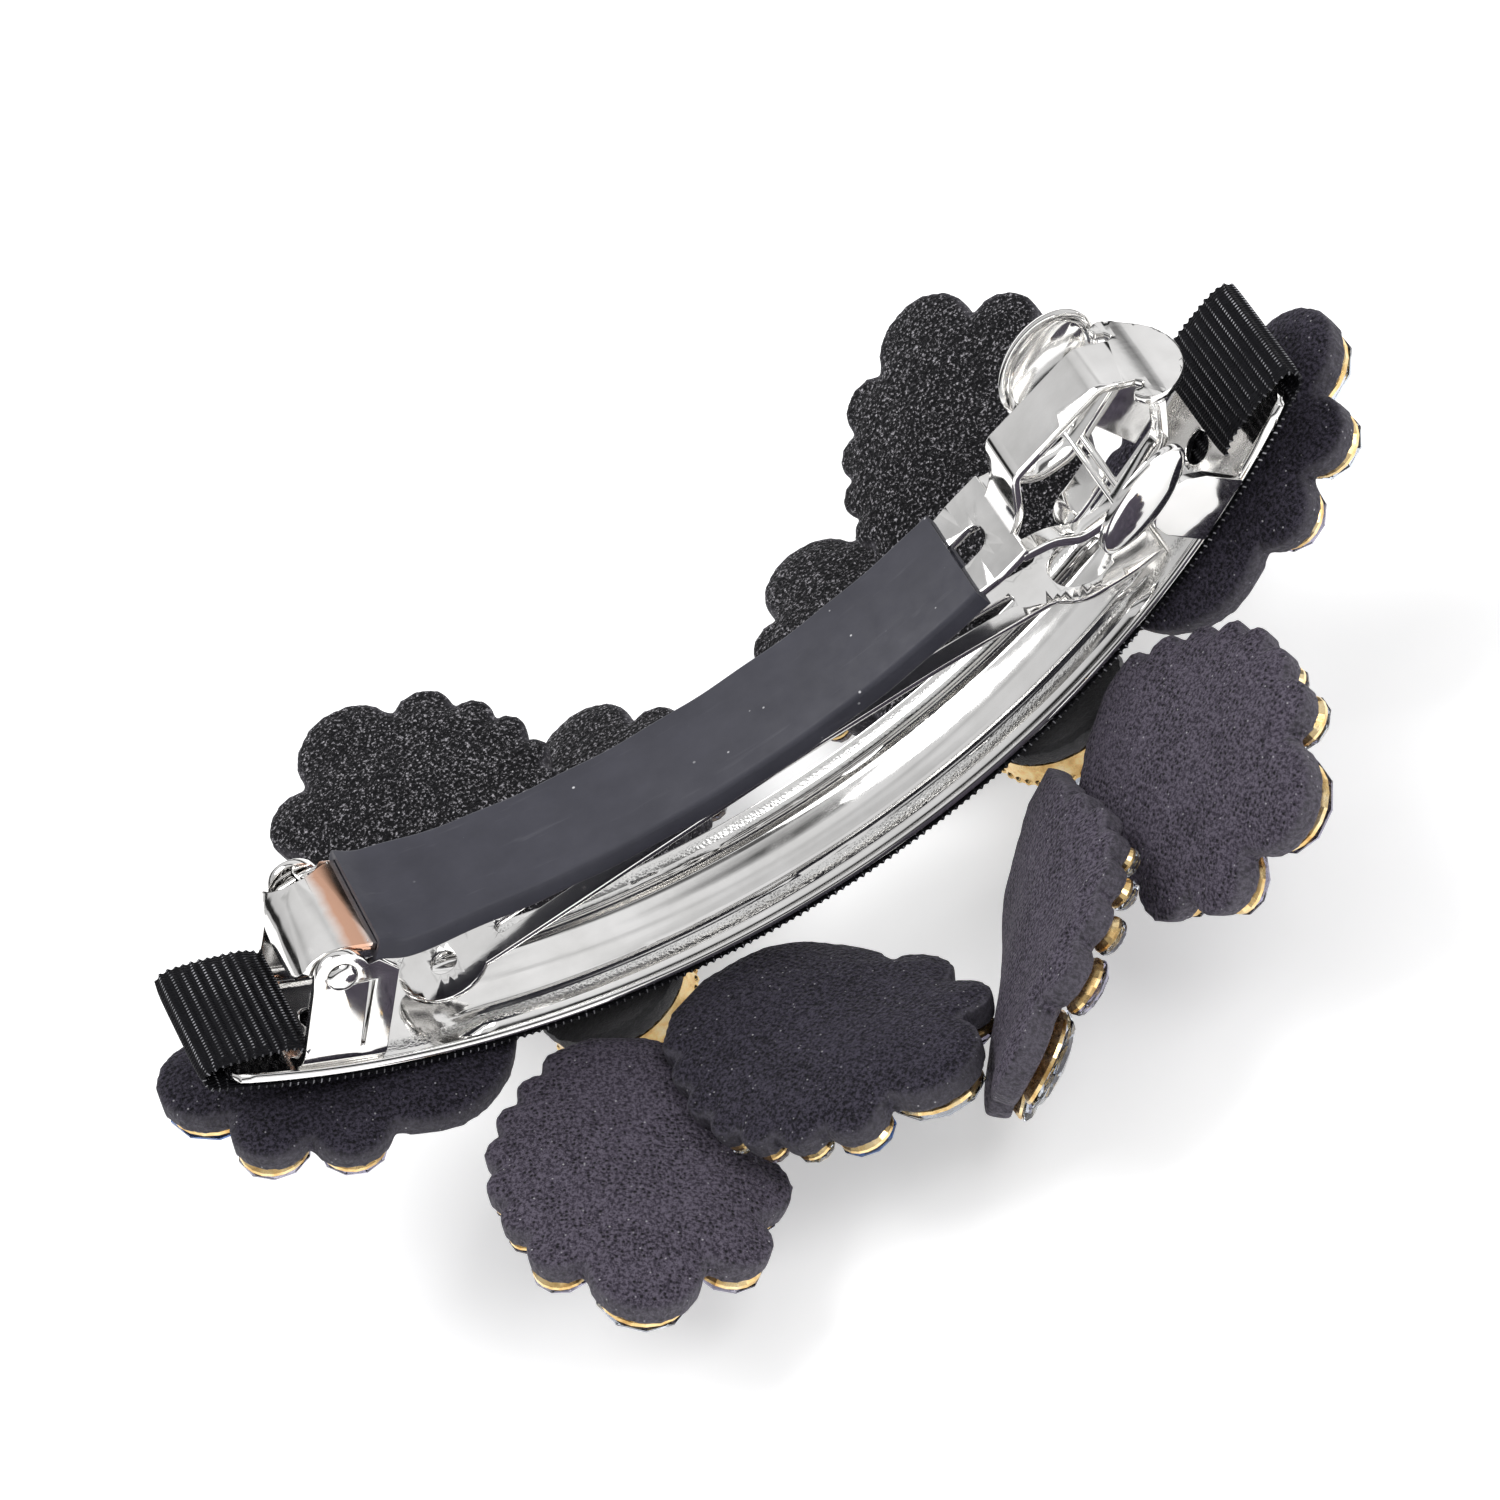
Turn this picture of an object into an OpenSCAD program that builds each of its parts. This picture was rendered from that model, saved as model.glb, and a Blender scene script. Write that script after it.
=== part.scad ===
// Arched clasp barrette with two fabric flowers set with stones.
// It lies face down on its stones, clasp side up: +X runs along the barrette
// from the hinge to the catch, and +Z points out of the clasp side.

/* [Base plate] */
// Length of the base plate between its ends
base_l = 79; // [76:1:79]
// Width of the base plate
base_w = 10; // [9:0.5:11]
// Radius of the arch, measured to the clasp side of the plate
arch_r = 60; // [55:1:80]
// Thickness of the sheet metal
sheet = 0.6; // [0.5:0.05:0.8]
// Height of the lowest point of the plate above the resting plane
lift = 10.5; // [10.5:0.5:12]

/* [Hinge] */
// Angle round the arch at which the hinge ears stand
ear_angle = 33.5; // [31:0.5:35]
// Radius of the hinge pin
pin_r = 0.7; // [0.5:0.05:0.8]
// Radial clearance of the pin in its bores
pin_gap = 0.05; // [0.03:0.01:0.08]
// Radius of the riveted heads of the pin
pin_head_r = 1.0; // [0.9:0.05:1.2]

/* [Clasp arm] */
// Radius of the arch of the arm
arm_r = 69; // [65:1:80]
// Height of the arm's lowest point above the plate's lowest point
arm_rise = 10.7; // [10.5:0.1:12]
// Half width of the arm under the sleeve
arm_half = 3.8; // [3.5:0.1:4]
// Thickness of the rubber sleeve's wall
sleeve_wall = 0.45; // [0.3:0.05:0.5]

/* [Catch wings] */
// Angle round the arch at which the catch wings stand
wing_angle = 32.4; // [30:0.2:33]
// Width of a wing's upright
wing_w = 4.7; // [4:0.1:5]
// Outward lean of an upright
wing_lean = 15; // [10:1:20]
// Half length of a finger pad, along the arch
pad_half_l = 4.15; // [3.5:0.05:4.5]
// Half height of a finger pad
pad_half_h = 2.7; // [2.2:0.1:3]

/* [Flowers] */
// Distance of each flower's centre from the middle of the barrette
flower_x = 16.8; // [15:0.1:18]
// Height of the flower's back at its centre above the resting plane
flower_z = 9.7; // [9.3:0.1:9.7]
// Thickness of a padded petal
petal_t = 1.8; // [1.5:0.1:2]
// Thickness of the grosgrain ribbon
ribbon_t = 0.5; // [0.4:0.1:0.6]

/* [Hidden] */
$fn = 48;
eps = 0.05;
// Height of the solids that cut right through
through = 60;

steel = [0.86, 0.85, 0.84];
rubber = [0.26, 0.26, 0.28];
cloth = [0.16, 0.15, 0.18];
gold = [0.85, 0.68, 0.35];

// Base plate
arch_z = lift + arch_r;
half_l = base_l / 2;
half_w = base_w / 2;
bead_h = 0.45;
bead_w = 1.1;
bead_y = half_w - 0.15 - bead_w;
bead_half_l = 25.5;
end_hole_r = 1.1;
end_hole_x = 33;
arch_fn = 240;

// Hinge: places in the ear's own frame, x along the plate and z square to it
ear_t = 0.6;
ear_inset = 0.02;
pin_at = [-0.5, 7.3];
ear_top_r = 1.75;
ear_outline = [[-2.2, -0.3], [2.2, -0.3], [2.1, 1.5], [1.2, 2.6], [1.2, 7.3], [-2.2, 7.3]];
leaf_outline = [[1.5, 0.9], [2.4, 0.9], [3.4, 7.2], [1.6, 8.1]];
pin_half = half_w + 0.4;

// Clasp arm: side view as [x, height above the plate's lowest point]
arm_t = 0.6;
arm_x = -1;
arm_end_x = 20.5;
arm_start_x = -25.5;
arm_steps = 24;
cheek_y = 4.3;
cheek_t = 0.45;
cheek_r = 1.9;
cheek_strip = [[-31.6, 17], [-29.6, 16.6], [-27, 15.6]];
cheek_strip_t = 1.6;
cheek_end_x = -25;
narrow_x = -19;
plan_x = [-34, 40];
hinge_cap = [[-32.2, 16.6], [-31.4, 17.35], [-30.2, 17.75], [-28.8, 17.75], [-27.2, 16.75]];
bridge = [[20.3, 13.97], [21.3, 15.2], [22.2, 18], [29.5, 20.4], [32.4, 18.8]];
rails = [[20.2, 13.93], [22.2, 13.5], [23.7, 12.4], [26.2, 12.5], [31.2, 15.6], [32.3, 18.7]];
tab = [[31.9, 19.1], [33, 18.55], [35.4, 17.9]];
tongue = [[23.6, 11.3], [26.8, 12.9]];
bridge_half = 2.2;
rail_in = 2.7;
rail_out = 4.1;
crossbar = [[26.5, 12.75], [27.5, 13.3]];
tongue_half = 1.3;
tab_x = 31.2;
tab_r = 4.35;
slot_r = 1.15;
slot_x = [9, 17.8];

// Sleeve
sleeve_x = [-26.8, 16.6];
sleeve_gap = 0.04;
sleeve_lead = [[-28, 17.4], [-27.2, 16.75]];

// Tension bar
bar_t = 0.4;
bar_path = [
    [-27, 7.75], [-23, 7.45], [-12, 7.75], [0, 7.95], [12, 7.75], [21, 7.1], [25.5, 6.75], [27.8, 7.1]
];
bar_l = 54.8;
bar_half = 2.0;
bar_eye_r = 3.3;
bar_eye_hole_r = 2.1;
bar_eye_x = 23;
bar_fork_x = -24.5;
bar_fork_r = 3.1;
bar_fork_hole_r = 0.9;
fork_slot = [5, 0.9];
fork_x = 1.9;

// Ribbon's fold over each end, from the end of the plate, above the plate's lowest point
ribbon_fold = [
    [-0.3, 13.3], [0.6, 13.9], [0.6, 15.3], [0.2, 15.7], [-5.3, 13.8],
    [-5.3, 13.3], [-0.5, 15.15], [0.1, 14.9], [0.1, 14.0], [-0.3, 13.6]
];

// Catch wings
wing_t = 0.6;
wing_h = 5.6;
wing_gap = 0.05;
wing_foot = 0.1;
pad_n = 7.5;
pad_y = 7.85;
pad_lean = 24;
pad_t = 0.9;
dish_r = 13;

// Petals: lobes of the scalloped edge, in order round it, as
// [distance from the flower's centre, sideways, radius]
lobes = [
    [13, -2, 7], [18.4, -7.2, 2.9], [23.2, -5.6, 2.8], [25.4, 0, 3.9], [23.3, 5.1, 2.3], [20.4, 7, 1.8],
    [17.6, 7.9, 1.6], [14.9, 7.9, 1.5], [12.3, 7, 1.5], [10, 5.5, 1.5], [7.9, 3.8, 1.4]
];
petal_root = [5.4, 1.9];
root_low = [5.4, -1.9];
// Petals set further out than this have a stem that reaches in to the felt disc
stemless = 1.8;
stem_half = 1.1;
lobe_steps = 6;
stone_lobes = [1, 2, 3, 4, 5, 6, 7];
stone_fill = 0.86;
stone_deep = 1.5;
girdle_at = 0.35;
foil_taper = 0.9;
table_taper = 0.6;

// Each petal's direction, rise, roll and how far it stands out from the centre
right_petals = [
    [78, 18, -13, 3.0], [4, 29, -1, 1.5], [-74, 18, 27, 1.5], [-115, 3, 46, 4.4], [110, -6, 4, 0.5]
];
left_petals = [
    [75, 14, -2, 2.5], [2, 28, 0, 1.0], [-76, 6, 28, 0.1], [-124, 2, 14, 1.2], [104, -11, 8, 0.2]
];

// Middle of each flower
felt_r = 5.2;
felt_t = 1.2;
cup_r = 5.1;
cup_t = 2.2;
cup_wall = 0.4;
centre_r = 3.4;
ring_stone_r = 0.56;
ring_r = 4.1;
ring_stones = 14;
ring_stone_h = 2.6;
ring_taper = 0.7;
table_r = 2.4;
cup_floor = flower_z - felt_t;

// Points along an arc of radius r whose lowest point is at [x0, z0]
function arc_path(r, x0, z0, from_x, to_x, steps) = [
    for (i = [0:steps]) let (x = from_x + (to_x - from_x) * i / steps)
    [x, z0 + r - sqrt(r * r - pow(x - x0, 2))]
];
function unit(v) = v / norm(v);
function left_of(v) = [-v[1], v[0]];
function last(p) = len(p) - 1;
// Direction square to a path at its point i
function square_at(p, i) = left_of(unit(p[min(i + 1, last(p))] - p[max(i - 1, 0)]));
// Closed outline of a strip of thickness t along a path
function band(p, t) = concat(
    [for (i = [0:last(p)]) p[i] + square_at(p, i) * t / 2],
    [for (i = [last(p):-1:0]) p[i] - square_at(p, i) * t / 2]
);
// Direction from one lobe to another, and how far either side of it their circles cross
function facing(a, b) = atan2(b[1] - a[1], b[0] - a[0]);
function crossing(a, b) = let (d = norm([b[0] - a[0], b[1] - a[1]]))
    acos((d * d + a[2] * a[2] - b[2] * b[2]) / (2 * d * a[2]));
// How far round a lobe a straight line from a point touches it
function touching(a, b) = acos(a[2] / norm([b[0] - a[0], b[1] - a[1]]));
function lobe_from(i) = i == 0 ? facing(lobes[0], root_low) + touching(lobes[0], root_low)
    : facing(lobes[i], lobes[i - 1]) + crossing(lobes[i], lobes[i - 1]);
function lobe_to(i) = i == last(lobes) ? facing(lobes[i], petal_root) - touching(lobes[i], petal_root)
    : facing(lobes[i], lobes[i + 1]) - crossing(lobes[i], lobes[i + 1]);
function turn(from, to) = ((to - from) % 360 + 360) % 360;
// Outer arc of lobe i, between its crossings with its neighbours
function lobe_arc(i) = [
    for (k = [0:lobe_steps]) let (a = lobe_from(i) + turn(lobe_from(i), lobe_to(i)) * k / lobe_steps)
    [lobes[i][0] + lobes[i][2] * cos(a), lobes[i][1] + lobes[i][2] * sin(a)]
];
function petal_outline() = concat(
    [root_low],
    [for (i = [0:last(lobes)]) each lobe_arc(i)],
    [petal_root]
);
function arm_arc() = arc_path(arm_r, arm_x, arm_rise, arm_start_x, arm_end_x, arm_steps);

// Extrudes a side view between two places across the barrette
module across(y_low, y_high) {
    translate([0, y_high, 0]) rotate([90, 0, 0]) linear_extrude(y_high - y_low) children();
}

// A sheet that follows a side view given above the plate's lowest point
module sheet_strip(path, t, y_low, y_high) {
    translate([0, 0, lift]) across(y_low, y_high) polygon(band(path, t));
}

// Puts children at an angle round the arch: x along the plate, z square to it
module on_arch(angle) {
    translate([0, 0, arch_z]) rotate([0, -angle, 0]) translate([0, 0, -arch_r]) children();
}

module arch_band(r_in, r_out, x_low, x_high) {
    intersection() {
        translate([0, arch_z]) difference() {
            circle(r_out, $fn = arch_fn);
            circle(r_in, $fn = arch_fn);
        }
        translate([x_low, 0]) square([x_high - x_low, arch_z * 0.7]);
    }
}

module ear(y_low) {
    on_arch(-ear_angle) across(y_low, y_low + ear_t) {
        translate(pin_at) circle(ear_top_r);
        polygon(ear_outline);
        polygon(leaf_outline);
    }
}

module pin_axis(r, half) {
    on_arch(-ear_angle) translate([pin_at[0], 0, pin_at[1]]) rotate([90, 0, 0])
        cylinder(r = r, h = 2 * half, center = true);
}

module base_plate() {
    color(steel) difference() {
        union() {
            across(-half_w, half_w) arch_band(arch_r, arch_r + sheet, -half_l, half_l);
            for (y = [-bead_y - bead_w, bead_y])
                across(y, y + bead_w) arch_band(arch_r - bead_h, arch_r + eps, -bead_half_l, bead_half_l);
            ear(-half_w + ear_inset);
            ear(half_w - ear_t - ear_inset);
        }
        pin_axis(pin_r + pin_gap, half_w + 1);
        for (x = [-end_hole_x, end_hole_x]) translate([x, 0, lift]) cylinder(r = end_hole_r, h = through);
    }
}

module hinge_pin() {
    color(steel) on_arch(-ear_angle) translate([pin_at[0], 0, pin_at[1]]) rotate([90, 0, 0]) {
        cylinder(r = pin_r, h = 2 * half_w, center = true);
        for (side = [-1, 1]) translate([0, 0, side * (half_w + pin_half) / 2])
            cylinder(r = pin_head_r, h = pin_half - half_w, center = true);
    }
}

// Plan view of the arm under the sleeve, wider at the hinge
module arm_plan(grow) {
    wide = cheek_y + grow;
    narrow = arm_half + grow;
    linear_extrude(through) polygon([
        [plan_x[0], -wide], [cheek_end_x, -wide], [narrow_x, -narrow], [plan_x[1], -narrow],
        [plan_x[1], narrow], [narrow_x, narrow], [cheek_end_x, wide], [plan_x[0], wide]
    ]);
}

module cheek(y_low) {
    on_arch(-ear_angle) across(y_low, y_low + cheek_t) translate(pin_at) circle(cheek_r);
    sheet_strip(cheek_strip, cheek_strip_t, y_low, y_low + cheek_t);
}

module clasp_arm() {
    color(steel) difference() {
        union() {
            intersection() {
                sheet_strip(concat(hinge_cap, arm_arc()), arm_t, -half_w, half_w);
                arm_plan(0);
            }
            sheet_strip([for (p = arm_arc()) if (p[0] > sleeve_x[1] + 0.2) p], arm_t, -rail_out, rail_out);
            cheek(-cheek_y + eps);
            cheek(cheek_y - cheek_t - eps);
            sheet_strip(bridge, arm_t, -bridge_half, bridge_half);
            for (y = [-rail_out, rail_in]) sheet_strip(rails, arm_t, y, y + rail_out - rail_in);
            sheet_strip(crossbar, arm_t, -rail_out, rail_out);
            sheet_strip(tongue, arm_t, -tongue_half, tongue_half);
            intersection() {
                sheet_strip(tab, arm_t, -half_w, half_w);
                translate([tab_x, 0, lift]) cylinder(r = tab_r, h = through);
            }
        }
        pin_axis(pin_r + pin_gap, half_w + 1);
        translate([slot_x[1], 0, lift]) cylinder(r = slot_r, h = through);
        translate([slot_x[0], -slot_r, lift]) cube([slot_x[1] - slot_x[0], 2 * slot_r, through]);
    }
}

module sleeve_core(t, grow) {
    intersection() {
        sheet_strip(concat(sleeve_lead, arm_arc()), t, -base_w, base_w);
        arm_plan(grow);
        translate([sleeve_x[0], -base_w, 0]) cube([sleeve_x[1] - sleeve_x[0], 2 * base_w, through]);
    }
}

module arm_sleeve() {
    color(rubber) difference() {
        sleeve_core(arm_t + 2 * sleeve_gap + 2 * sleeve_wall, sleeve_gap + sleeve_wall);
        for (x = [-1:1]) translate([x, 0, 0]) sleeve_core(arm_t + 2 * sleeve_gap, sleeve_gap);
    }
}

module tension_bar() {
    color(steel) difference() {
        intersection() {
            sheet_strip(bar_path, bar_t, -half_w, half_w);
            union() {
                translate([bar_path[0][0], -bar_half, 0]) cube([bar_l, 2 * bar_half, through]);
                translate([bar_eye_x, 0, 0]) cylinder(r = bar_eye_r, h = through);
                translate([bar_eye_x, -bar_eye_r, 0]) cube([2 * bar_eye_r, 2 * bar_eye_r, through]);
                translate([bar_fork_x, 0, 0]) cylinder(r = bar_fork_r, h = through);
            }
        }
        translate([bar_eye_x, 0, lift]) cylinder(r = bar_eye_hole_r, h = through);
        translate([bar_fork_x, 0, lift]) {
            cylinder(r = bar_fork_hole_r, h = through);
            translate([fork_x, -fork_slot[1] / 2, 0]) cube([fork_slot[0], fork_slot[1], through]);
        }
    }
}

// One catch wing, on the side of +Y or -Y
module wing(side) {
    color(steel) on_arch(wing_angle) mirror([0, side < 0 ? 1 : 0, 0]) {
        translate([0, half_w + wing_gap, wing_foot]) rotate([-wing_lean, 0, 0])
            translate([-wing_w / 2, 0, 0]) cube([wing_w, wing_t, wing_h]);
        translate([0, pad_y, pad_n]) rotate([90 - pad_lean, 0, 0]) difference() {
            linear_extrude(pad_t, center = true)
                polygon([for (a = [0:10:350]) [pad_half_l * cos(a), pad_half_h * sin(a)]]);
            translate([0, 0, dish_r]) sphere(dish_r, $fn = 96);
        }
    }
}
module catch_wing_near() { wing(-1); }
module catch_wing_far() { wing(1); }

module grosgrain_ribbon() {
    r_in = arch_r + sheet;
    color(cloth) across(-half_w, half_w) {
        arch_band(r_in, r_in + ribbon_t, -half_l, half_l);
        for (side = [0, 1]) mirror([side, 0]) translate([half_l, lift]) polygon(ribbon_fold);
    }
}

module petal_blank(out) {
    stem = max(out - stemless, 0);
    linear_extrude(petal_t, center = true) {
        polygon(petal_outline());
        if (stem > 0) translate([petal_root[0] - stem, -stem_half])
            square([stem + petal_root[1], 2 * stem_half]);
    }
}

// A cut stone: a foiled back that meets the petal, and a crown with a flat table
module stone(r, deep) {
    cylinder(r1 = r * foil_taper, r2 = r, h = deep * girdle_at);
    translate([0, 0, deep * girdle_at]) cylinder(r1 = r, r2 = r * table_taper, h = deep * (1 - girdle_at));
}

// Puts a petal's pieces in place. The front of a petal faces down.
module place_petal(p, side) {
    mirror([side < 0 ? 1 : 0, 0, 0]) translate([flower_x, 0, flower_z - petal_t / 2])
        rotate([0, 0, p[0]]) rotate([0, -p[1], 0]) rotate([p[2], 0, 0]) translate([p[3], 0, 0]) children();
}
module petal(p, side) { color(cloth) place_petal(p, side) petal_blank(p[3]); }
module stones(p, side) {
    color(gold) place_petal(p, side) for (i = stone_lobes)
        translate([lobes[i][0], lobes[i][1], -petal_t / 2]) mirror([0, 0, 1])
            stone(lobes[i][2] * stone_fill, stone_deep);
}

module petal_right_1() { petal(right_petals[0], 1); }
module petal_right_2() { petal(right_petals[1], 1); }
module petal_right_3() { petal(right_petals[2], 1); }
module petal_right_4() { petal(right_petals[3], 1); }
module petal_right_5() { petal(right_petals[4], 1); }
module petal_left_1() { petal(left_petals[0], -1); }
module petal_left_2() { petal(left_petals[1], -1); }
module petal_left_3() { petal(left_petals[2], -1); }
module petal_left_4() { petal(left_petals[3], -1); }
module petal_left_5() { petal(left_petals[4], -1); }
module stones_right_1() { stones(right_petals[0], 1); }
module stones_right_2() { stones(right_petals[1], 1); }
module stones_right_3() { stones(right_petals[2], 1); }
module stones_right_4() { stones(right_petals[3], 1); }
module stones_right_5() { stones(right_petals[4], 1); }
module stones_left_1() { stones(left_petals[0], -1); }
module stones_left_2() { stones(left_petals[1], -1); }
module stones_left_3() { stones(left_petals[2], -1); }
module stones_left_4() { stones(left_petals[3], -1); }
module stones_left_5() { stones(left_petals[4], -1); }

// Puts children at a flower's centre, at the height of the resting plane
module at_flower(side) {
    translate([side * flower_x, 0, 0]) children();
}
module felt_disc(side) {
    color(cloth) at_flower(side) translate([0, 0, flower_z - felt_t]) cylinder(r = felt_r, h = felt_t);
}
module centre_cup(side) {
    color(gold) at_flower(side) translate([0, 0, cup_floor - cup_t]) difference() {
        cylinder(r = cup_r, h = cup_t);
        translate([0, 0, -1]) cylinder(r = cup_r - cup_wall, h = cup_t + 1 - cup_wall);
    }
}
module centre_stones(side) {
    seat = cup_floor - cup_wall;
    color(gold) at_flower(side) {
        cylinder(r1 = table_r, r2 = centre_r, h = seat * girdle_at);
        translate([0, 0, seat * girdle_at])
            cylinder(r1 = centre_r, r2 = centre_r * ring_taper, h = seat * (1 - girdle_at));
        for (i = [0:ring_stones - 1]) rotate([0, 0, i * 360 / ring_stones])
            translate([ring_r, 0, seat - ring_stone_h])
                cylinder(r1 = ring_stone_r * ring_taper, r2 = ring_stone_r, h = ring_stone_h);
    }
}
module felt_disc_right() { felt_disc(1); }
module felt_disc_left() { felt_disc(-1); }
module centre_cup_right() { centre_cup(1); }
module centre_cup_left() { centre_cup(-1); }
module centre_stones_right() { centre_stones(1); }
module centre_stones_left() { centre_stones(-1); }

base_plate();
hinge_pin();
clasp_arm();
arm_sleeve();
tension_bar();
catch_wing_near();
catch_wing_far();
grosgrain_ribbon();
petal_right_1();
petal_right_2();
petal_right_3();
petal_right_4();
petal_right_5();
petal_left_1();
petal_left_2();
petal_left_3();
petal_left_4();
petal_left_5();
stones_right_1();
stones_right_2();
stones_right_3();
stones_right_4();
stones_right_5();
stones_left_1();
stones_left_2();
stones_left_3();
stones_left_4();
stones_left_5();
felt_disc_right();
felt_disc_left();
centre_cup_right();
centre_cup_left();
centre_stones_right();
centre_stones_left();
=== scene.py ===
"""Arched clasp barrette with two fabric flowers, lying face down with its clasp side up.

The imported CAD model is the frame. Shapes here are worked out in millimetres in the same frame
(+X from the hinge to the catch, +Z out of the clasp side) and made in metres.
"""
import math
import random

import bmesh
import bpy
from mathutils import Matrix, Vector


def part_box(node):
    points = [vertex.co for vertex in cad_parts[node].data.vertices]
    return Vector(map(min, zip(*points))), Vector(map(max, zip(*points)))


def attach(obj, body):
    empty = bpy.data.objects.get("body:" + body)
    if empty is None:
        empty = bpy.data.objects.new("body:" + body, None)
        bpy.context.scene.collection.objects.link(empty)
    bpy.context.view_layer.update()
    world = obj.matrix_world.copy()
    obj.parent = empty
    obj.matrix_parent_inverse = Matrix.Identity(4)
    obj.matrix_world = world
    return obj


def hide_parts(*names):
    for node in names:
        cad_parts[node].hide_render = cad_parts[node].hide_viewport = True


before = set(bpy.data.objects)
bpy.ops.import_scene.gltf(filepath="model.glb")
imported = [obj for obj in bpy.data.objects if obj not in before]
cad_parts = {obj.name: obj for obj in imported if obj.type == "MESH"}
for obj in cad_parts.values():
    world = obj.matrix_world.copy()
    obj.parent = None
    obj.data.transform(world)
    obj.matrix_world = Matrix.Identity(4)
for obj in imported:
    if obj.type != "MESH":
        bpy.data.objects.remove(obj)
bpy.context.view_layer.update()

# ---- dimensions, in millimetres
MM = 0.001


def middle(node):
    """The middle of a CAD node's box, in millimetres."""
    lo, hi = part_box(node)
    return (lo + hi) / 2 / MM


PLATE_LO, PLATE_HI = (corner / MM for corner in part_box("base_plate"))
HALF_L = PLATE_HI.x
HALF_W = PLATE_HI.y
SHEET = 0.6
# The lowest point of the plate's upper face, and the radius and centre of its arch
LIFT = PLATE_LO.z + SHEET
ARCH_R = 60
ARCH_Z = LIFT + ARCH_R
PIN = middle("hinge_pin")
PIN_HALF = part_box("hinge_pin")[1].y / MM
# Where the ears stand round the arch, in degrees, and where the pin is in an ear's own frame
EAR_ANGLE = 33.5
EAR_FRAME_PIN = (-0.5, 7.3)
BORE_R = 0.75
WING_ANGLE = 32.4
FLOWER_X = middle("felt_disc_right").x
FLOWER_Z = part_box("felt_disc_right")[1].z / MM
# The arm's own arc: its radius, and where its lowest point is
ARM_R, ARM_X, ARM_RISE = 69, -1, 10.7
ARM_T = 0.6
PETAL_T = 1.8

# Lobes of a petal's scalloped edge: distance from the flower's centre, sideways, radius
LOBES = [
    (13, -2, 7), (18.4, -7.2, 2.9), (23.2, -5.6, 2.8), (25.4, 0, 3.9), (23.3, 5.1, 2.3),
    (20.4, 7, 1.8), (17.6, 7.9, 1.6), (14.9, 7.9, 1.5), (12.3, 7, 1.5), (10, 5.5, 1.5),
    (7.9, 3.8, 1.4),
]
# The ends of a petal's straight root; a petal set further out than STEMLESS reaches back to it
PETAL_ROOT = (5.4, 1.9)
ROOT_LOW = (5.4, -1.9)
STEMLESS = 1.8
# Direction, rise, roll and distance out of each petal, as in the CAD model
PETALS = {
    "right": [(78, 18, -13, 3.0), (4, 29, -1, 1.5), (-74, 18, 27, 1.5), (-115, 3, 46, 4.4),
              (110, -6, 4, 0.5)],
    "left": [(75, 14, -2, 2.5), (2, 28, 0, 1.0), (-76, 6, 28, 0.1), (-124, 2, 14, 1.2),
             (104, -11, 8, 0.2)],
}
# How far each petal bows: across its width, and along it towards the tip, per millimetre
BOWS = {
    "right": [(0.010, 0.006), (0.012, 0.006), (0.016, 0.006), (0.022, -0.004), (0.010, 0.0)],
    "left": [(0.010, 0.006), (0.012, 0.006), (0.014, 0.004), (0.020, 0.0), (0.008, -0.002)],
}


# ---- side-view paths
def arch(r, x0, z0, from_x, to_x, steps):
    """Points along an arc of radius r whose lowest point is at (x0, z0)."""
    xs = [from_x + (to_x - from_x) * i / steps for i in range(steps + 1)]
    return [(x, z0 + r - math.sqrt(r * r - (x - x0) ** 2)) for x in xs]


def eased(points, cut, steps):
    """A path with each corner cut back and bridged by a curve."""
    out = [Vector(points[0])]
    for a, b, c in zip(points, points[1:], points[2:]):
        a, b, c = Vector(a), Vector(b), Vector(c)
        start = b + (a - b).normalized() * min(cut, (a - b).length * 0.45)
        end = b + (c - b).normalized() * min(cut, (c - b).length * 0.45)
        for k in range(steps + 1):
            t = k / steps
            out.append(start * (1 - t) ** 2 + b * 2 * t * (1 - t) + end * t * t)
    return [tuple(p) for p in out] + [tuple(points[-1])]


def raised(points):
    """Turns heights above the plate's lowest upper point into heights in the frame."""
    return [(x, z + LIFT) for x, z in points]


class Path:
    """A side-view path that sheet metal and ribbon follow: s along it, n square to it."""

    def __init__(self, points):
        self.points = [Vector((x, z)) for x, z in points]
        self.at = [0.0]
        for a, b in zip(self.points, self.points[1:]):
            self.at.append(self.at[-1] + (b - a).length)
        self.length = self.at[-1]

    def square_to(self, i):
        a = self.points[max(i - 1, 0)]
        b = self.points[min(i + 1, len(self.points) - 1)]
        d = (b - a).normalized()
        return Vector((-d.y, d.x))

    def place(self, s, y, n=0.0):
        i = 0
        while i < len(self.at) - 2 and self.at[i + 1] < s:
            i += 1
        t = (s - self.at[i]) / (self.at[i + 1] - self.at[i])
        p = self.points[i].lerp(self.points[i + 1], t)
        normal = self.square_to(i).lerp(self.square_to(i + 1), t).normalized()
        p = p + normal * n
        return Vector((p.x, y, p.y))

    def s_at(self, x):
        """How far along the path it first reaches x."""
        for i, (a, b) in enumerate(zip(self.points, self.points[1:])):
            if min(a.x, b.x) <= x <= max(a.x, b.x) and a.x != b.x:
                return self.at[i] + (self.at[i + 1] - self.at[i]) * (x - a.x) / (b.x - a.x)
        return self.length


def spin(degrees, axis):
    return Matrix.Rotation(math.radians(degrees), 4, axis)


def on_arch(angle):
    """The frame of something that stands on the arch at an angle round it."""
    return Matrix.Translation((0, 0, ARCH_Z)) @ spin(-angle, "Y") @ Matrix.Translation((0, 0, -ARCH_R))


def arc(x, y, r, start, end, steps=10):
    """Points on a circle from one angle to another, in degrees."""
    angles = [math.radians(start + (end - start) * k / steps) for k in range(steps + 1)]
    return [(x + r * math.cos(a), y + r * math.sin(a)) for a in angles]


def slot_outline(x_from, x_to, r):
    """A long hole with round ends."""
    return arc(x_to - r, 0, r, -90, 90) + arc(x_from + r, 0, r, 90, 270)


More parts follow.
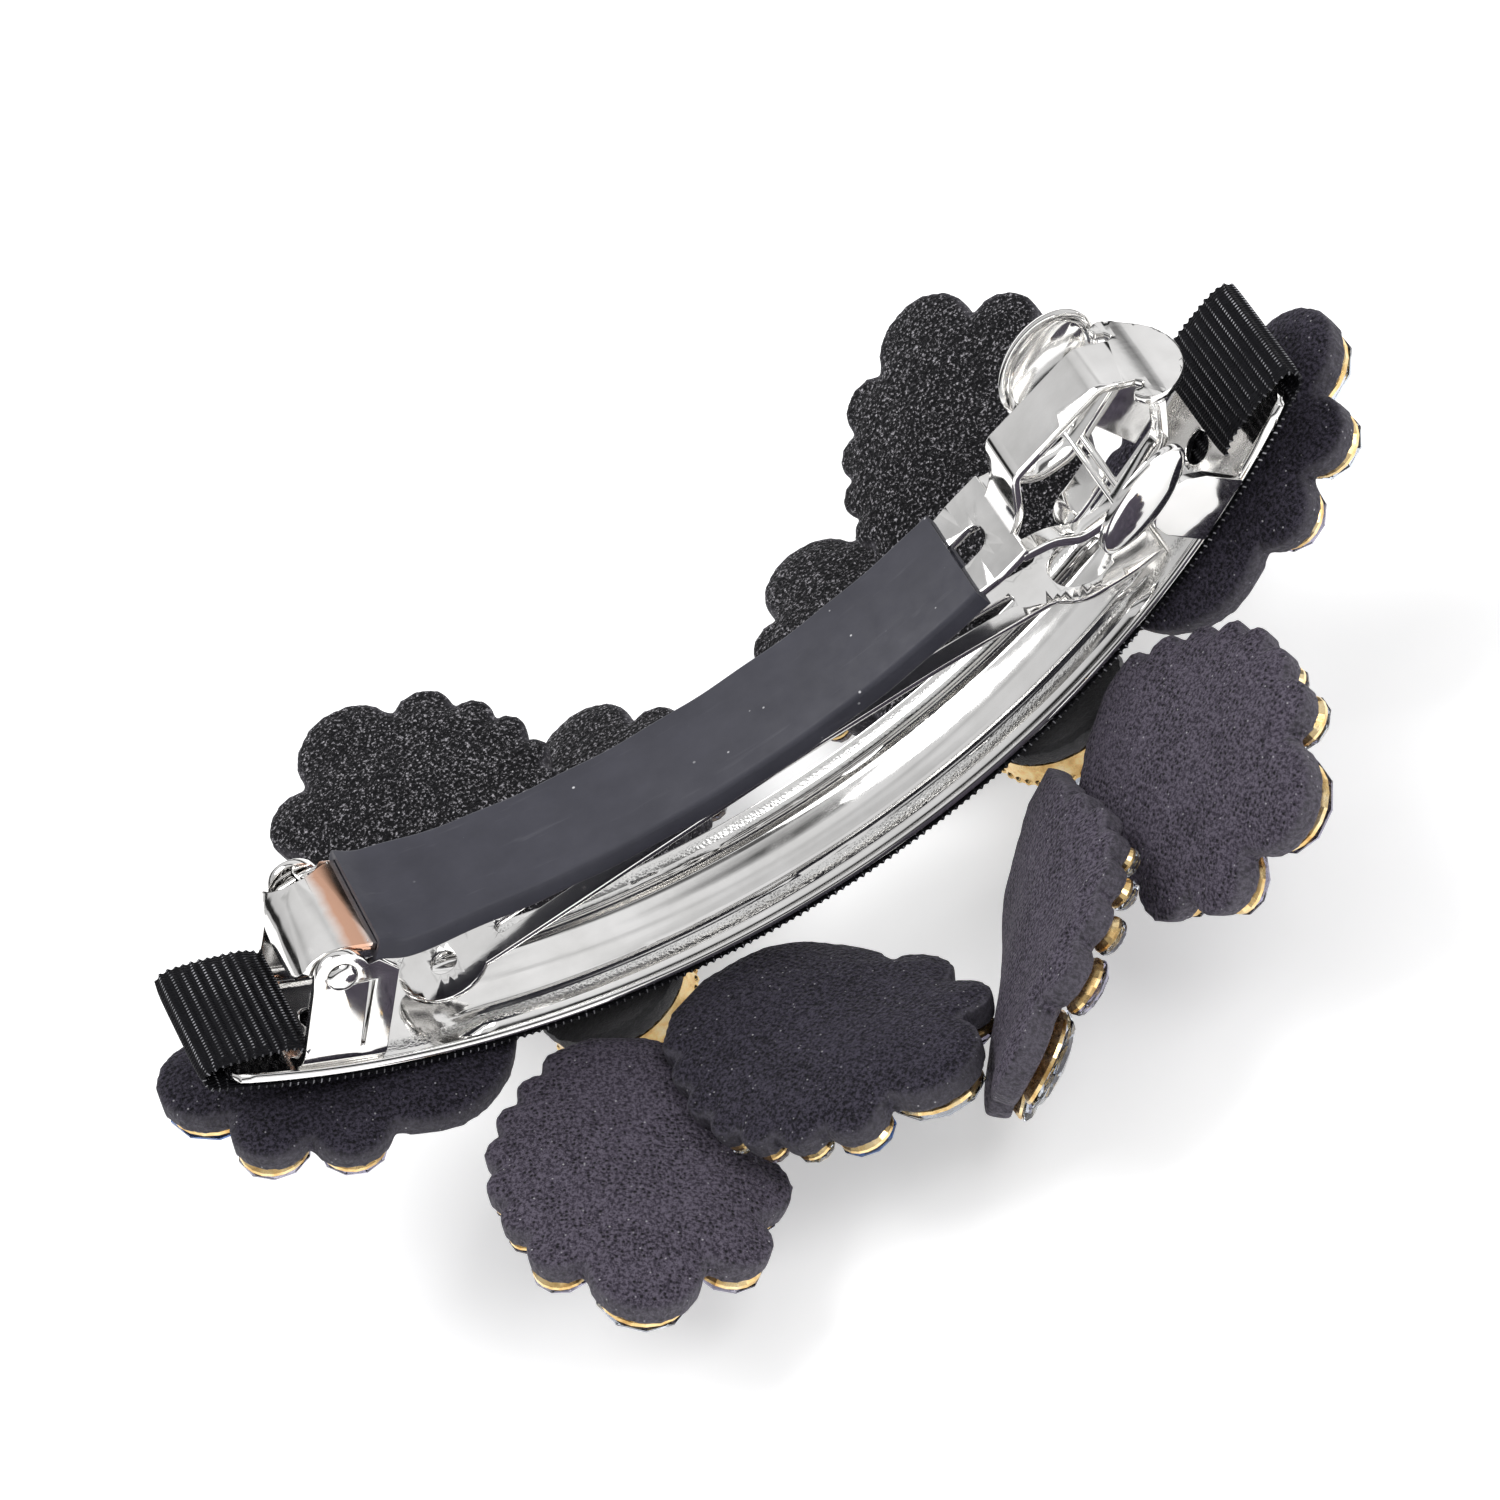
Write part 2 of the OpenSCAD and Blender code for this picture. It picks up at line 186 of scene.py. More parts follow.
def box_outline(x0, x1, y0, y1, r=0.3):
    """A rectangle with rounded corners."""
    corners = [(x1 - r, y0 + r, -90), (x1 - r, y1 - r, 0), (x0 + r, y1 - r, 90), (x0 + r, y0 + r, 180)]
    return [p for x, y, a in corners for p in arc(x, y, r, a, a + 90, 4)]


# ---- making pieces
def settle(obj):
    """Applies an object's modifiers to its mesh."""
    bpy.context.view_layer.update()
    graph = bpy.context.evaluated_depsgraph_get()
    mesh = bpy.data.meshes.new_from_object(obj.evaluated_get(graph))
    obj.modifiers.clear()
    obj.data = mesh
    return obj


def add_object(name, data):
    obj = bpy.data.objects.new(name, data)
    bpy.context.scene.collection.objects.link(obj)
    return obj


def new_object(name, bm, unit=MM):
    """An object from a mesh made in millimetres, or in another unit given in metres."""
    bmesh.ops.scale(bm, vec=(unit, unit, unit), verts=bm.verts)
    mesh = bpy.data.meshes.new(name)
    bm.to_mesh(mesh)
    bm.free()
    return add_object(name, mesh)


def smooth(obj, angle=35):
    """Smooth shading with creases at edges sharper than the angle."""
    obj.data.shade_smooth()
    obj.data.set_sharp_from_angle(angle=math.radians(angle))
    return obj


def dress(obj, body, slot, *materials, replaces=()):
    """Gives a piece its materials and its body; its slot is not used."""
    for m in materials:
        obj.data.materials.append(m)
    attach(obj, body)
    if replaces:
        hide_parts(*replaces)


def flat_sided(obj):
    """Leans the shading on the large faces, so that flats stay flat and only edges round off."""
    weighted = obj.modifiers.new("Weighted", "WEIGHTED_NORMAL")
    weighted.weight = 100
    weighted.keep_sharp = True
    return settle(obj)


def thicken(obj, thickness, bevel):
    """Turns a surface into sheet metal with softened edges."""
    solid = obj.modifiers.new("Solidify", "SOLIDIFY")
    solid.thickness = thickness * MM
    solid.offset = 0
    solid.use_even_offset = True
    edge = obj.modifiers.new("Bevel", "BEVEL")
    edge.width = bevel * MM
    edge.segments = 2
    edge.limit_method = "ANGLE"
    edge.angle_limit = math.radians(50)
    edge.use_clamp_overlap = False
    return flat_sided(smooth(settle(obj)))


def face_out(bm):
    bmesh.ops.recalc_face_normals(bm, faces=bm.faces)


def cut_sheet(name, outline, holes, shape, thickness, step=None, across=(), bevel=0.1):
    """Sheet metal cut to an outline with holes, then carried to its place by shape(along, across).

    step is how often it may bend along its length; across lists the lines it bends on lengthways.
    """
    bm = bmesh.new()
    edges = []
    for loop in [outline, *holes]:
        ring = [bm.verts.new((x, y, 0)) for x, y in loop]
        edges += [bm.edges.new(pair) for pair in zip(ring, ring[1:] + ring[:1])]
    bmesh.ops.triangle_fill(bm, use_beauty=True, edges=edges)
    low, high = min(p[0] for p in outline), max(p[0] for p in outline)
    cuts = [(y_at, (0, 1, 0)) for y_at in across]
    if step:
        count = int((high - low) / step)
        cuts += [(low + (high - low) * k / count, (1, 0, 0)) for k in range(1, count)]
    for at, normal in cuts:
        geometry = bm.verts[:] + bm.edges[:] + bm.faces[:]
        point = tuple(at * n for n in normal)
        bmesh.ops.bisect_plane(bm, geom=geometry, plane_co=point, plane_no=normal, dist=1e-5)
    bmesh.ops.remove_doubles(bm, verts=bm.verts, dist=0.01)
    face_out(bm)
    for v in bm.verts:
        v.co = shape(v.co.x, v.co.y)
    return thicken(new_object(name, bm), thickness, bevel)


def grid(bm, rows, columns, point, around=False, capped=False, material=0):
    """A sheet of quads through point(i, j). around joins the last column to the first."""
    verts = [[bm.verts.new(point(i, j)) for j in range(columns)] for i in range(rows)]
    last = columns if around else columns - 1
    for i in range(rows - 1):
        for j in range(last):
            k = (j + 1) % columns
            face = bm.faces.new((verts[i][j], verts[i][k], verts[i + 1][k], verts[i + 1][j]))
            face.material_index = material
    if capped:
        for ring in (verts[0], verts[-1][::-1]):
            bm.faces.new(ring).material_index = material
    return verts


def turned(bm, profile, sides, matrix, material=0, phase=0.0):
    """A turned or faceted solid: profile is a list of (radius, height) from end to end."""

    def point(i, j):
        r, z = profile[i]
        a = math.tau * (j + phase) / sides
        return matrix @ Vector((r * math.cos(a), r * math.sin(a), z))

    grid(bm, len(profile), sides, point, around=True, capped=True, material=material)


# ---- materials
def add_ramp(tree, value, stops):
    """Colours or greys at positions along a value: each stop is (position, colour)."""
    node = tree.nodes.new("ShaderNodeValToRGB")
    elements = node.color_ramp.elements
    while len(elements) < len(stops):
        elements.new(0.5)
    for element, (at, colour) in zip(elements, stops):
        element.position = at
        element.color = (colour,) * 3 + (1,) if isinstance(colour, (int, float)) else (*colour, 1)
    tree.links.new(value, node.inputs["Fac"])
    return node.outputs["Color"]


class Shader:
    """Short ways to lay out a material's nodes."""

    def __init__(self, name):
        self.material = bpy.data.materials.new(name)
        self.material.use_nodes = True
        self.tree = self.material.node_tree
        self.surface = self.tree.nodes["Principled BSDF"]
        self.place = self.tree.nodes.new("ShaderNodeTexCoord").outputs["Object"]

    def set(self, **values):
        for key, value in values.items():
            self.surface.inputs[key.replace("_", " ")].default_value = value

    def link(self, out, socket):
        self.tree.links.new(out, self.surface.inputs[socket])

    def stretch(self, x, y, z, turn=(0, 0, 0)):
        node = self.tree.nodes.new("ShaderNodeMapping")
        node.inputs["Scale"].default_value = (x, y, z)
        node.inputs["Rotation"].default_value = turn
        self.tree.links.new(self.place, node.inputs["Vector"])
        return node.outputs["Vector"]

    def noise(self, scale, detail=3.0, vector=None, rough=0.55):
        node = self.tree.nodes.new("ShaderNodeTexNoise")
        node.inputs["Scale"].default_value = scale
        node.inputs["Detail"].default_value = detail
        node.inputs["Roughness"].default_value = rough
        self.tree.links.new(vector or self.place, node.inputs["Vector"])
        return node.outputs["Fac"]

    def cells(self, scale, vector=None, randomness=1.0):
        node = self.tree.nodes.new("ShaderNodeTexVoronoi")
        node.inputs["Scale"].default_value = scale
        node.inputs["Randomness"].default_value = randomness
        self.tree.links.new(vector or self.place, node.inputs["Vector"])
        return node.outputs["Distance"]

    def ramp(self, value, *stops):
        return add_ramp(self.tree, value, stops)

    def mix(self, factor, a, b):
        node = self.tree.nodes.new("ShaderNodeMix")
        node.data_type = "RGBA"
        for value, socket in ((factor, node.inputs[0]), (a, node.inputs[6]), (b, node.inputs[7])):
            if isinstance(value, (int, float)):
                socket.default_value = value
            elif isinstance(value, tuple):
                socket.default_value = (*value, 1)
            else:
                self.tree.links.new(value, socket)
        return node.outputs[2]

    def math(self, operation, a, b=0.0, c=0.0):
        node = self.tree.nodes.new("ShaderNodeMath")
        node.operation = operation
        for value, socket in zip((a, b, c), node.inputs):
            if isinstance(value, (int, float)):
                socket.default_value = value
            else:
                self.tree.links.new(value, socket)
        return node.outputs["Value"]

    def axis(self, name):
        node = self.tree.nodes.new("ShaderNodeSeparateXYZ")
        self.tree.links.new(self.place, node.inputs[0])
        return node.outputs[name]

    def attribute(self, name):
        node = self.tree.nodes.new("ShaderNodeAttribute")
        node.attribute_name = name
        return node.outputs["Fac"]

    def between(self, value, low, high, soft):
        """1 where the value is between low and high, fading over soft."""
        up = self.math("MULTIPLY_ADD", value, 1 / soft, -low / soft)
        down = self.math("MULTIPLY_ADD", value, -1 / soft, high / soft)
        least = self.math("MINIMUM", up, down)
        node = self.tree.nodes.new("ShaderNodeClamp")
        self.tree.links.new(least, node.inputs["Value"])
        return node.outputs["Result"]

    def bump(self, *layers):
        """Stacks (height, strength, distance in millimetres) into the surface's normal."""
        previous = None
        for height, strength, distance in layers:
            node = self.tree.nodes.new("ShaderNodeBump")
            node.inputs["Strength"].default_value = strength
            node.inputs["Distance"].default_value = distance * MM
            self.tree.links.new(height, node.inputs["Height"])
            if previous:
                self.tree.links.new(previous, node.inputs["Normal"])
            previous = node.outputs["Normal"]
        self.link(previous, "Normal")


def nickel(name, pitted=False, copper_band_at=None):
    """Bright nickel plate: clouded polish, fine scratches, and pits or a copper-coloured band where
    asked.
    """
    m = Shader(name)
    cloud = m.noise(260, 4)
    colour = m.ramp(cloud, (0.3, (0.86, 0.85, 0.83)), (0.65, (0.97, 0.96, 0.945)))
    scratches = m.noise(900, 2, m.stretch(0.12, 2.4, 1, (0, 0, 0.18)), 0.7)
    rough = m.ramp(m.noise(420, 5), (0.35, 0.05), (0.75, 0.16))
    layers = [(scratches, 0.05, 0.02), (cloud, 0.06, 0.1)]
    if pitted:
        across = m.math("ABSOLUTE", m.axis("Y"))
        band = m.between(across, 0.0031, 0.0043, 0.0005)
        along = m.noise(70, 2, m.stretch(1, 0.1, 1))
        patchy = m.math("MULTIPLY", band, m.ramp(along, (0.38, 0.1), (0.6, 1.0)))
        pits = m.cells(5200)
        pitted_grey = m.ramp(pits, (0.15, (0.2, 0.2, 0.2)), (0.5, (0.9, 0.9, 0.88)))
        colour = m.mix(patchy, colour, pitted_grey)
        layers.append((m.math("MULTIPLY", pits, patchy), 0.5, 0.08))
        rough = m.mix(patchy, rough, (0.34, 0.34, 0.34))
    # A ragged copper-coloured band across the arm beside the sleeve
    if copper_band_at:
        along = m.axis("X")
        ragged = m.math("MULTIPLY_ADD", m.noise(600, 3), 0.0006, along)
        copper_band = m.between(ragged, copper_band_at[0], copper_band_at[1], 0.0007)
        colour = m.mix(copper_band, colour, (0.72, 0.42, 0.29))
    m.link(colour, "Base Color")
    m.link(rough, "Roughness")
    m.set(Metallic=1.0)
    m.bump(*layers)
    return m.material


def rubber():
    """Matt slate rubber with soft mottling, a dusting of specks and handling marks."""
    m = Shader("rubber")
    mottled = m.ramp(m.noise(330, 5), (0.3, (0.036, 0.036, 0.049)), (0.7, (0.049, 0.049, 0.065)))
    dust = m.ramp(m.cells(640), (0.045, 1.0), (0.075, 0.0))
    rare = m.ramp(m.noise(380, 1), (0.52, 0.0), (0.62, 1.0))
    specks = m.math("MULTIPLY", dust, rare)
    scuffs = m.ramp(m.noise(500, 3, m.stretch(0.2, 2.2, 1, (0, 0, 0.5)), 0.7), (0.62, 0.0), (0.8, 0.25))
    colour = m.mix(scuffs, mottled, (0.16, 0.16, 0.18))
    m.link(m.mix(specks, colour, (0.62, 0.62, 0.64)), "Base Color")
    m.link(m.ramp(m.noise(800, 4), (0.3, 0.46), (0.7, 0.6)), "Roughness")
    m.set(Specular_IOR_Level=0.4)
    m.bump((m.noise(6500, 3), 0.25, 0.02), (m.noise(420, 3), 0.2, 0.08))
    return m.material


def suede(name, base, lit, coverage, flecked):
    """Charcoal scuba suede: small knit pits, fluffy fibres with a painted highlight, bright flecks of
    painted glint and a pressed, paler rim.

    coverage is where the fibre noise starts to take the painted highlight: lower covers more. flecked is
    how strong the bright flecks of painted glint are.
    """
    m = Shader(name)
    knit = m.cells(2500, m.stretch(1, 1, 0.6), randomness=0.6)
    fibre = m.noise(4500, 3, rough=0.75)
    tone = m.noise(170, 4)
    low, high = (tuple(c * f for c in base) for f in (0.7, 1.15))
    ground = m.ramp(tone, (0.3, low), (0.7, high))
    # Fibre tips take the lit colour: a painted highlight on the nap
    fuzz = m.mix(m.ramp(fibre, (coverage, 0.0), (coverage + 0.16, 1.0)), ground, lit)
    pitted = m.mix(m.ramp(knit, (0.14, 0.95), (0.36, 0.0)), fuzz, (0.003, 0.003, 0.004))
    rimmed = m.mix(m.math("MULTIPLY", m.attribute("rim"), 0.55), pitted, (0.10, 0.095, 0.11))
    speck = m.ramp(m.cells(1900), (0.07, 1.0), (0.15, 0.0))
    # Bright flecks are painted glints, where fibres would catch the light
    fleck_glints = m.math("MULTIPLY", speck, m.ramp(m.noise(1500, 1), (0.5, 0.0), (0.6, flecked)))
    m.link(m.mix(fleck_glints, rimmed, (0.6, 0.59, 0.62)), "Base Color")
    m.link(m.ramp(fibre, (0.3, 0.95), (0.75, 0.5)), "Roughness")
    m.set(Sheen_Weight=0.06, Sheen_Roughness=0.5, Specular_IOR_Level=0.18)
    m.surface.inputs["Sheen Tint"].default_value = (0.8, 0.78, 0.85, 1)
    m.bump((knit, 0.9, 0.2), (fibre, 0.8, 0.12), (tone, 0.25, 0.35))
    return m.material


def grosgrain():
    """Black grosgrain: fine warp threads with painted glints in dots along the crest of each woven rib.
    """
    m = Shader("grosgrain")
    across = m.axis("Y")
    threads = m.math("SINE", m.math("MULTIPLY", across, math.tau / 0.00027))
    fibre = m.noise(5200, 4, m.stretch(0.5, 2, 1))
    crest = m.ramp(m.attribute("crest"), (0.80, 0.0), (0.97, 1.0))
    patchy = m.ramp(m.noise(230, 2), (0.38, 0.15), (0.62, 1.0))
    tone = m.ramp(fibre, (0.35, (0.002, 0.002, 0.003)), (0.75, (0.008, 0.008, 0.011)))
    lit = m.math("MULTIPLY", crest, patchy)
    # The dots are painted glints along the rib crests and the selvedge loops
    thread_glints = m.math("MULTIPLY", m.ramp(threads, (0.35, 0.0), (0.85, 1.0)), lit)
    m.link(m.mix(thread_glints, tone, (0.62, 0.62, 0.66)), "Base Color")
    m.link(m.ramp(fibre, (0.3, 0.7), (0.7, 0.5)), "Roughness")
    m.set(Specular_IOR_Level=0.12)
    m.bump((threads, 0.6, 0.05), (fibre, 0.4, 0.04))
    return m.material


def felt():
    """Black pressed felt."""
    m = Shader("black_felt")
    fibre = m.noise(3200, 6, rough=0.8)
    m.link(m.ramp(fibre, (0.3, (0.004, 0.004, 0.005)), (0.75, (0.03, 0.028, 0.034))), "Base Color")
    m.link(m.ramp(fibre, (0.3, 1.0), (0.8, 0.8)), "Roughness")
    m.set(Sheen_Weight=0.4)
    m.bump((fibre, 0.9, 0.15))
    return m.material


def gilt():
    """Gold foil and gilt settings, slightly crinkled and tarnished."""
    m = Shader("gilt_metal")
    cloud = m.noise(900, 4)
    gold = m.ramp(cloud, (0.3, (0.62, 0.36, 0.12)), (0.5, (0.93, 0.66, 0.30)), (0.72, (1.0, 0.83, 0.52)))
    m.link(gold, "Base Color")
    m.link(m.ramp(m.noise(1500, 3), (0.3, 0.16), (0.7, 0.34)), "Roughness")
    m.set(Metallic=1.0)
    m.bump((cloud, 0.25, 0.08))
    return m.material


def crystal(name, colour, foil):
    """Cut glass with a little colour and faint flaws; foil is how much its back shows."""
    m = Shader(name)
    cloud = m.noise(700, 3)
    darker = tuple(c * 0.82 for c in colour)
    m.link(m.ramp(cloud, (0.35, darker), (0.65, colour)), "Base Color")
    m.link(m.ramp(m.noise(1800, 2), (0.4, 0.01), (0.8, 0.06)), "Roughness")
    m.set(Transmission_Weight=1.0 - foil, IOR=1.56, Metallic=foil)
    m.bump((cloud, 0.04, 0.05))
    return m.material


NICKEL = nickel("nickel_plate")
NICKEL_PITTED = nickel("nickel_base", pitted=True)
NICKEL_BANDED = nickel("nickel_arm", copper_band_at=(-0.0283, -0.0262))
RUBBER = rubber()
# Copies of one suede: plain, darkened as painted shade, and with painted highlights and glints in its
# grain
SUEDE = suede("petal_suede", (0.034, 0.028, 0.042), (0.120, 0.104, 0.140), 0.42, 0.7)
SUEDE_SHADED = suede("petal_suede_shaded", (0.009, 0.008, 0.013), (0.052, 0.046, 0.068), 0.42, 0.7)
SUEDE_GLINTING = suede("petal_suede_grainy", (0.003, 0.003, 0.004), (0.58, 0.56, 0.60), 0.55, 1.0)
# Which of them each petal is: the far ones have painted highlights and glints in their grain, the lower
# ones a copy darkened as painted shade
FABRICS = {
    "right": [SUEDE_GLINTING, SUEDE_SHADED, SUEDE, SUEDE, SUEDE_GLINTING],
    "left": [SUEDE_GLINTING, SUEDE_SHADED, SUEDE, SUEDE_SHADED, SUEDE_GLINTING],
}
GROSGRAIN = grosgrain()
FELT = felt()
GILT = gilt()
CLEAR = crystal("clear_stone", (0.80, 0.86, 0.96), 0.0)
SMOKY = crystal("smoky_stone", (0.40, 0.38, 0.50), 0.0)
BLUE = crystal("blue_stone", (0.10, 0.24, 0.62), 0.08)


# ---- base plate
def step_up(value, start, end):
    """0 before start, 1 after end, and smooth between."""
    t = min(max((value - start) / (end - start), 0.0), 1.0)
    return t * t * (3 - 2 * t)


def plate_relief(x, y):
    """Height of the pressed beads on the plate: a broad one and a fine one along each edge."""
    across = abs(y)
    broad = 0.42 * step_up(across, 3.15, 3.45) * (1 - step_up(across, 4.25, 4.6))
    crown = 0.08 * math.cos((across - 3.85) / 0.6 * math.pi / 2)
    fine = 0.2 * math.exp(-(((across - 2.55) / 0.22) ** 2))
    lip = 0.12 * step_up(across, 4.75, 5.0)
    fade = 1 - step_up(abs(x), 25.2, 26.6)
    trough = -0.12 * math.exp(-((y / 1.3) ** 2))
    return (broad + crown * (broad > 0.2) + fine + trough) * fade + lip


def make_plate():
    """The arched plate, with its pressed beads and a small hole near each end."""
    def shape(x, y):
        r = ARCH_R - plate_relief(x, y) + SHEET / 2
        a = x / ARCH_R
        return Vector((r * math.sin(a), y, ARCH_Z - r * math.cos(a)))

    half = ARCH_R * math.asin(HALF_L / (ARCH_R + SHEET)) - 0.2
    outline = box_outline(-half, half, -HALF_W, HALF_W, 1.4)
    hole_x, hole_r = 33, 1.1
    hole_at = ARCH_R * math.asin(hole_x / ARCH_R)
    holes = [arc(x, 0, hole_r, 0, 345, 23) for x in (-hole_at, hole_at)]
    lines = [0.0, 0.6, 1.2, 1.7, 2.1, 2.3, 2.45, 2.55, 2.65, 2.8, 3.0, 3.15, 3.25, 3.35, 3.45, 3.65,
             3.85, 4.05, 4.25, 4.37, 4.48, 4.6, 4.75, 4.88]
    across = sorted({side * y for y in lines for side in (-1, 1)})
    plate = cut_sheet("base_plate_sheet", outline, holes, shape, SHEET - 0.06, step=0.9, across=across)
    dress(plate, "base", "plated_steel", NICKEL_PITTED, replaces=["base_plate"])


def make_ear(name, side):
    """A hinge ear bent up from the plate: a round top for the pin, and a shoulder past a slit."""
    to_arch = on_arch(-EAR_ANGLE)
    pin_x, pin_z = EAR_FRAME_PIN
    outline = [(-2.9, -0.7), (-2.6, 0.2), (3.1, 0.2), (3.1, 1.4), (3.4, 7.1), (1.95, 8.0)]
    outline += arc(pin_x, pin_z, 1.8, 25, 180, 14)
    outline += [(-2.3, 6.0), (-2.4, 1.4)]
    bore = arc(pin_x, pin_z, BORE_R, 0, 345, 23)
    slit = [(1.3, 1.6), (1.5, 1.55), (1.85, 6.5), (1.45, 6.6)]
    bend = 1.1
    stretch = bend * (math.pi / 2 - 1)

    def shape(x, y):
        turn = math.pi / 2 * min(max(1 - y / bend / (math.pi / 2), 0.0), 1.0)
        inward = bend * (1 - math.cos(turn)) + 0.08 * max(y - 4, 0) * (x > 1.4)
        height = bend * (1 - math.sin(turn)) if turn > 0 else y - stretch
        return to_arch @ Vector((x, side * (HALF_W - 0.3 - inward), height))

    loops = [[(x, y + stretch * (y > 1)) for x, y in loop] for loop in (outline, bore, slit)]
    rows = [0.2 + 0.2 * k for k in range(9)]
    ear = cut_sheet(name, loops[0], loops[1:], shape, SHEET, across=rows, bevel=0.12)
    dress(ear, "base", "plated_steel", NICKEL)


def make_pin():
    """The hinge pin, with a domed head at each end."""
    bm = bmesh.new()
    half, r, head = PIN_HALF, 0.7, 1.0
    profile = [(0.01, -half), (0.4, -half + 0.02), (0.7, -half + 0.09), (0.9, -half + 0.2),
               (head, -half + 0.34), (head - 0.05, -HALF_W - 0.03), (r, -HALF_W - 0.02)]
    profile += [(radius, -z) for radius, z in reversed(profile)]
    lay = Matrix.Translation(PIN) @ spin(90, "X")
    turned(bm, profile, 32, lay)
    pin = smooth(new_object("hinge_pin_riveted", bm), 60)
    dress(pin, "base", "plated_steel", NICKEL, replaces=["hinge_pin"])


# ---- clasp arm
HINGE_CAP = [(-32.35, 15.9), (-31.9, 17.0), (-30.9, 17.65), (-29.3, 17.85), (-27.2, 16.75)]
ARM_ARC = arch(ARM_R, ARM_X, ARM_RISE, -25.5, 20.5, 46)
ARM_PATH = Path(raised(eased(HINGE_CAP + ARM_ARC[:2], 0.9, 6)[:-1] + ARM_ARC[1:]))
SLEEVE_X = (-26.8, 16.6)


def half_width(x):
    """Half the arm's width: broad at the hinge, narrow under the sleeve, broad at the catch."""
    narrow = 3.8
    return narrow + 0.5 * (1 - step_up(x, -25, -19)) + 0.35 * step_up(x, 15.5, 18.5)


def make_arm():
    """The strap, with its window at the hinge and its slot, and the two cheeks the pin goes through."""
    s = ARM_PATH.s_at
    xs = [SLEEVE_X[0] + k for k in range(44)] + [17.2, 17.8, 18.5, 19.4, 20.5]
    near = [(s(x), -half_width(x)) for x in xs]
    window = [(-31.2, 0.0), (-30.8, 0.75), (-30.1, 1.25), (-29.4, 1.4), (-28.7, 1.25), (-28.0, 0.8),
              (-27.5, 0.0)]
    hinge_half, cheek_y = 4.3, 4.02
    hinge_far = [(s(x), hinge_half - depth) for x, depth in reversed(window)]
    tip = [(0.05, -0.8), (0.35, -2.2), (0.95, -3.4), (1.9, -4.2)]
    tip_far = [(a, -y) for a, y in reversed(tip)]
    far = [(a, -y) for a, y in reversed(near)]
    outline = tip + near + far + hinge_far + tip_far
    slot_from, slot_to = s(7.8), s(19.0)
    strap = cut_sheet("arm_strap", outline, [slot_outline(slot_from, slot_to, 1.15)],
                      lambda a, y: ARM_PATH.place(a, y), ARM_T, step=0.9)
    dress(strap, "arm", "plated_steel", NICKEL_BANDED, replaces=["clasp_arm"])
    for name, side in (("arm_cheek_near", -1), ("arm_cheek_far", 1)):
        def shape(x, z, side=side):
            return Vector((PIN.x + x, side * cheek_y, PIN.z + z))
        outline = arc(0, 0, 1.5, 30, -210, 20) + [(-0.9, 0.95), (0.9, 0.95), (2.6, 0.55)]
        cheek = cut_sheet(name, outline, [arc(0, 0, BORE_R, 0, 345, 23)], shape, 0.4, bevel=0.08)
        dress(cheek, "arm", "plated_steel", NICKEL)


def make_catch_head():
    """The raised bridge with its lift tab, the side rails, the crossbar and the tongue."""
    bridge = [(19.9, 13.7), (20.5, 14.25), (21.3, 15.3), (22.2, 18.0), (29.5, 20.4), (31.9, 19.25),
              (33.2, 18.5), (35.4, 17.8)]
    path = Path(raised(eased(bridge, 0.4, 4)))
    tab_from, centre = path.s_at(31.9), path.s_at(31.2)
    half, tab_r = 2.2, 4.35
    tab = arc(centre, 0, tab_r, -82, 82, 26)
    horn = [(tab_from - 0.55, tab_r - 0.25), (tab_from - 1.0, tab_r - 0.75),
            (tab_from - 0.75, tab_r - 1.25), (tab_from - 0.2, tab_r - 1.35),
            (tab_from + 0.1, half + 0.35), (tab_from - 0.3, half)]
    near_horn = [(a, -y) for a, y in reversed(horn)]
    outline = [(0, -half), (tab_from - 1.2, -half)] + near_horn + tab + horn + [(0, half)]
    piece = cut_sheet("arm_bridge", outline, [], lambda a, y: path.place(a, y), ARM_T, step=0.35,
                      bevel=0.12)
    dress(piece, "arm", "plated_steel", NICKEL)

    rails = Path(raised(eased([(19.9, 13.85), (22.2, 13.5), (23.7, 12.4), (26.2, 12.5), (31.2, 15.6),
                               (32.3, 18.7)], 0.7, 5)))
    for name, side in (("arm_rail_near", -1), ("arm_rail_far", 1)):
        outline = box_outline(0, rails.length, 2.75, 4.15, 0.2)
        rail = cut_sheet(name, outline, [], lambda a, y, side=side: rails.place(a, side * y), 0.7,
                         step=0.4, bevel=0.12)
        dress(rail, "arm", "plated_steel", NICKEL)

    bm = bmesh.new()
    for x, z in ((26.65, 12.95), (27.35, 13.3)):
        profile = [(0.02, -4.55), (0.3, -4.5), (0.42, -4.25), (0.3, -3.95), (0.24, -3.8)]
        profile += [(r, -y) for r, y in reversed(profile)]
        lay = Matrix.Translation((x, 0, z + LIFT)) @ spin(90, "X")
        turned(bm, profile, 20, lay)
    bar = smooth(new_object("arm_crossbar", bm), 40)
    dress(bar, "arm", "plated_steel", NICKEL)

    tongue = Path(raised(eased([(23.1, 11.0), (25.2, 11.9), (27.2, 13.1)], 0.8, 5)))
    outline = arc(1.3, 0, 1.3, 90, 270, 14) + [(tongue.length, -1.3), (tongue.length, 1.3)]
    piece = cut_sheet("arm_tongue", outline, [], lambda a, y: tongue.place(a, y), 0.5, step=0.4)
    dress(piece, "arm", "plated_steel", NICKEL)


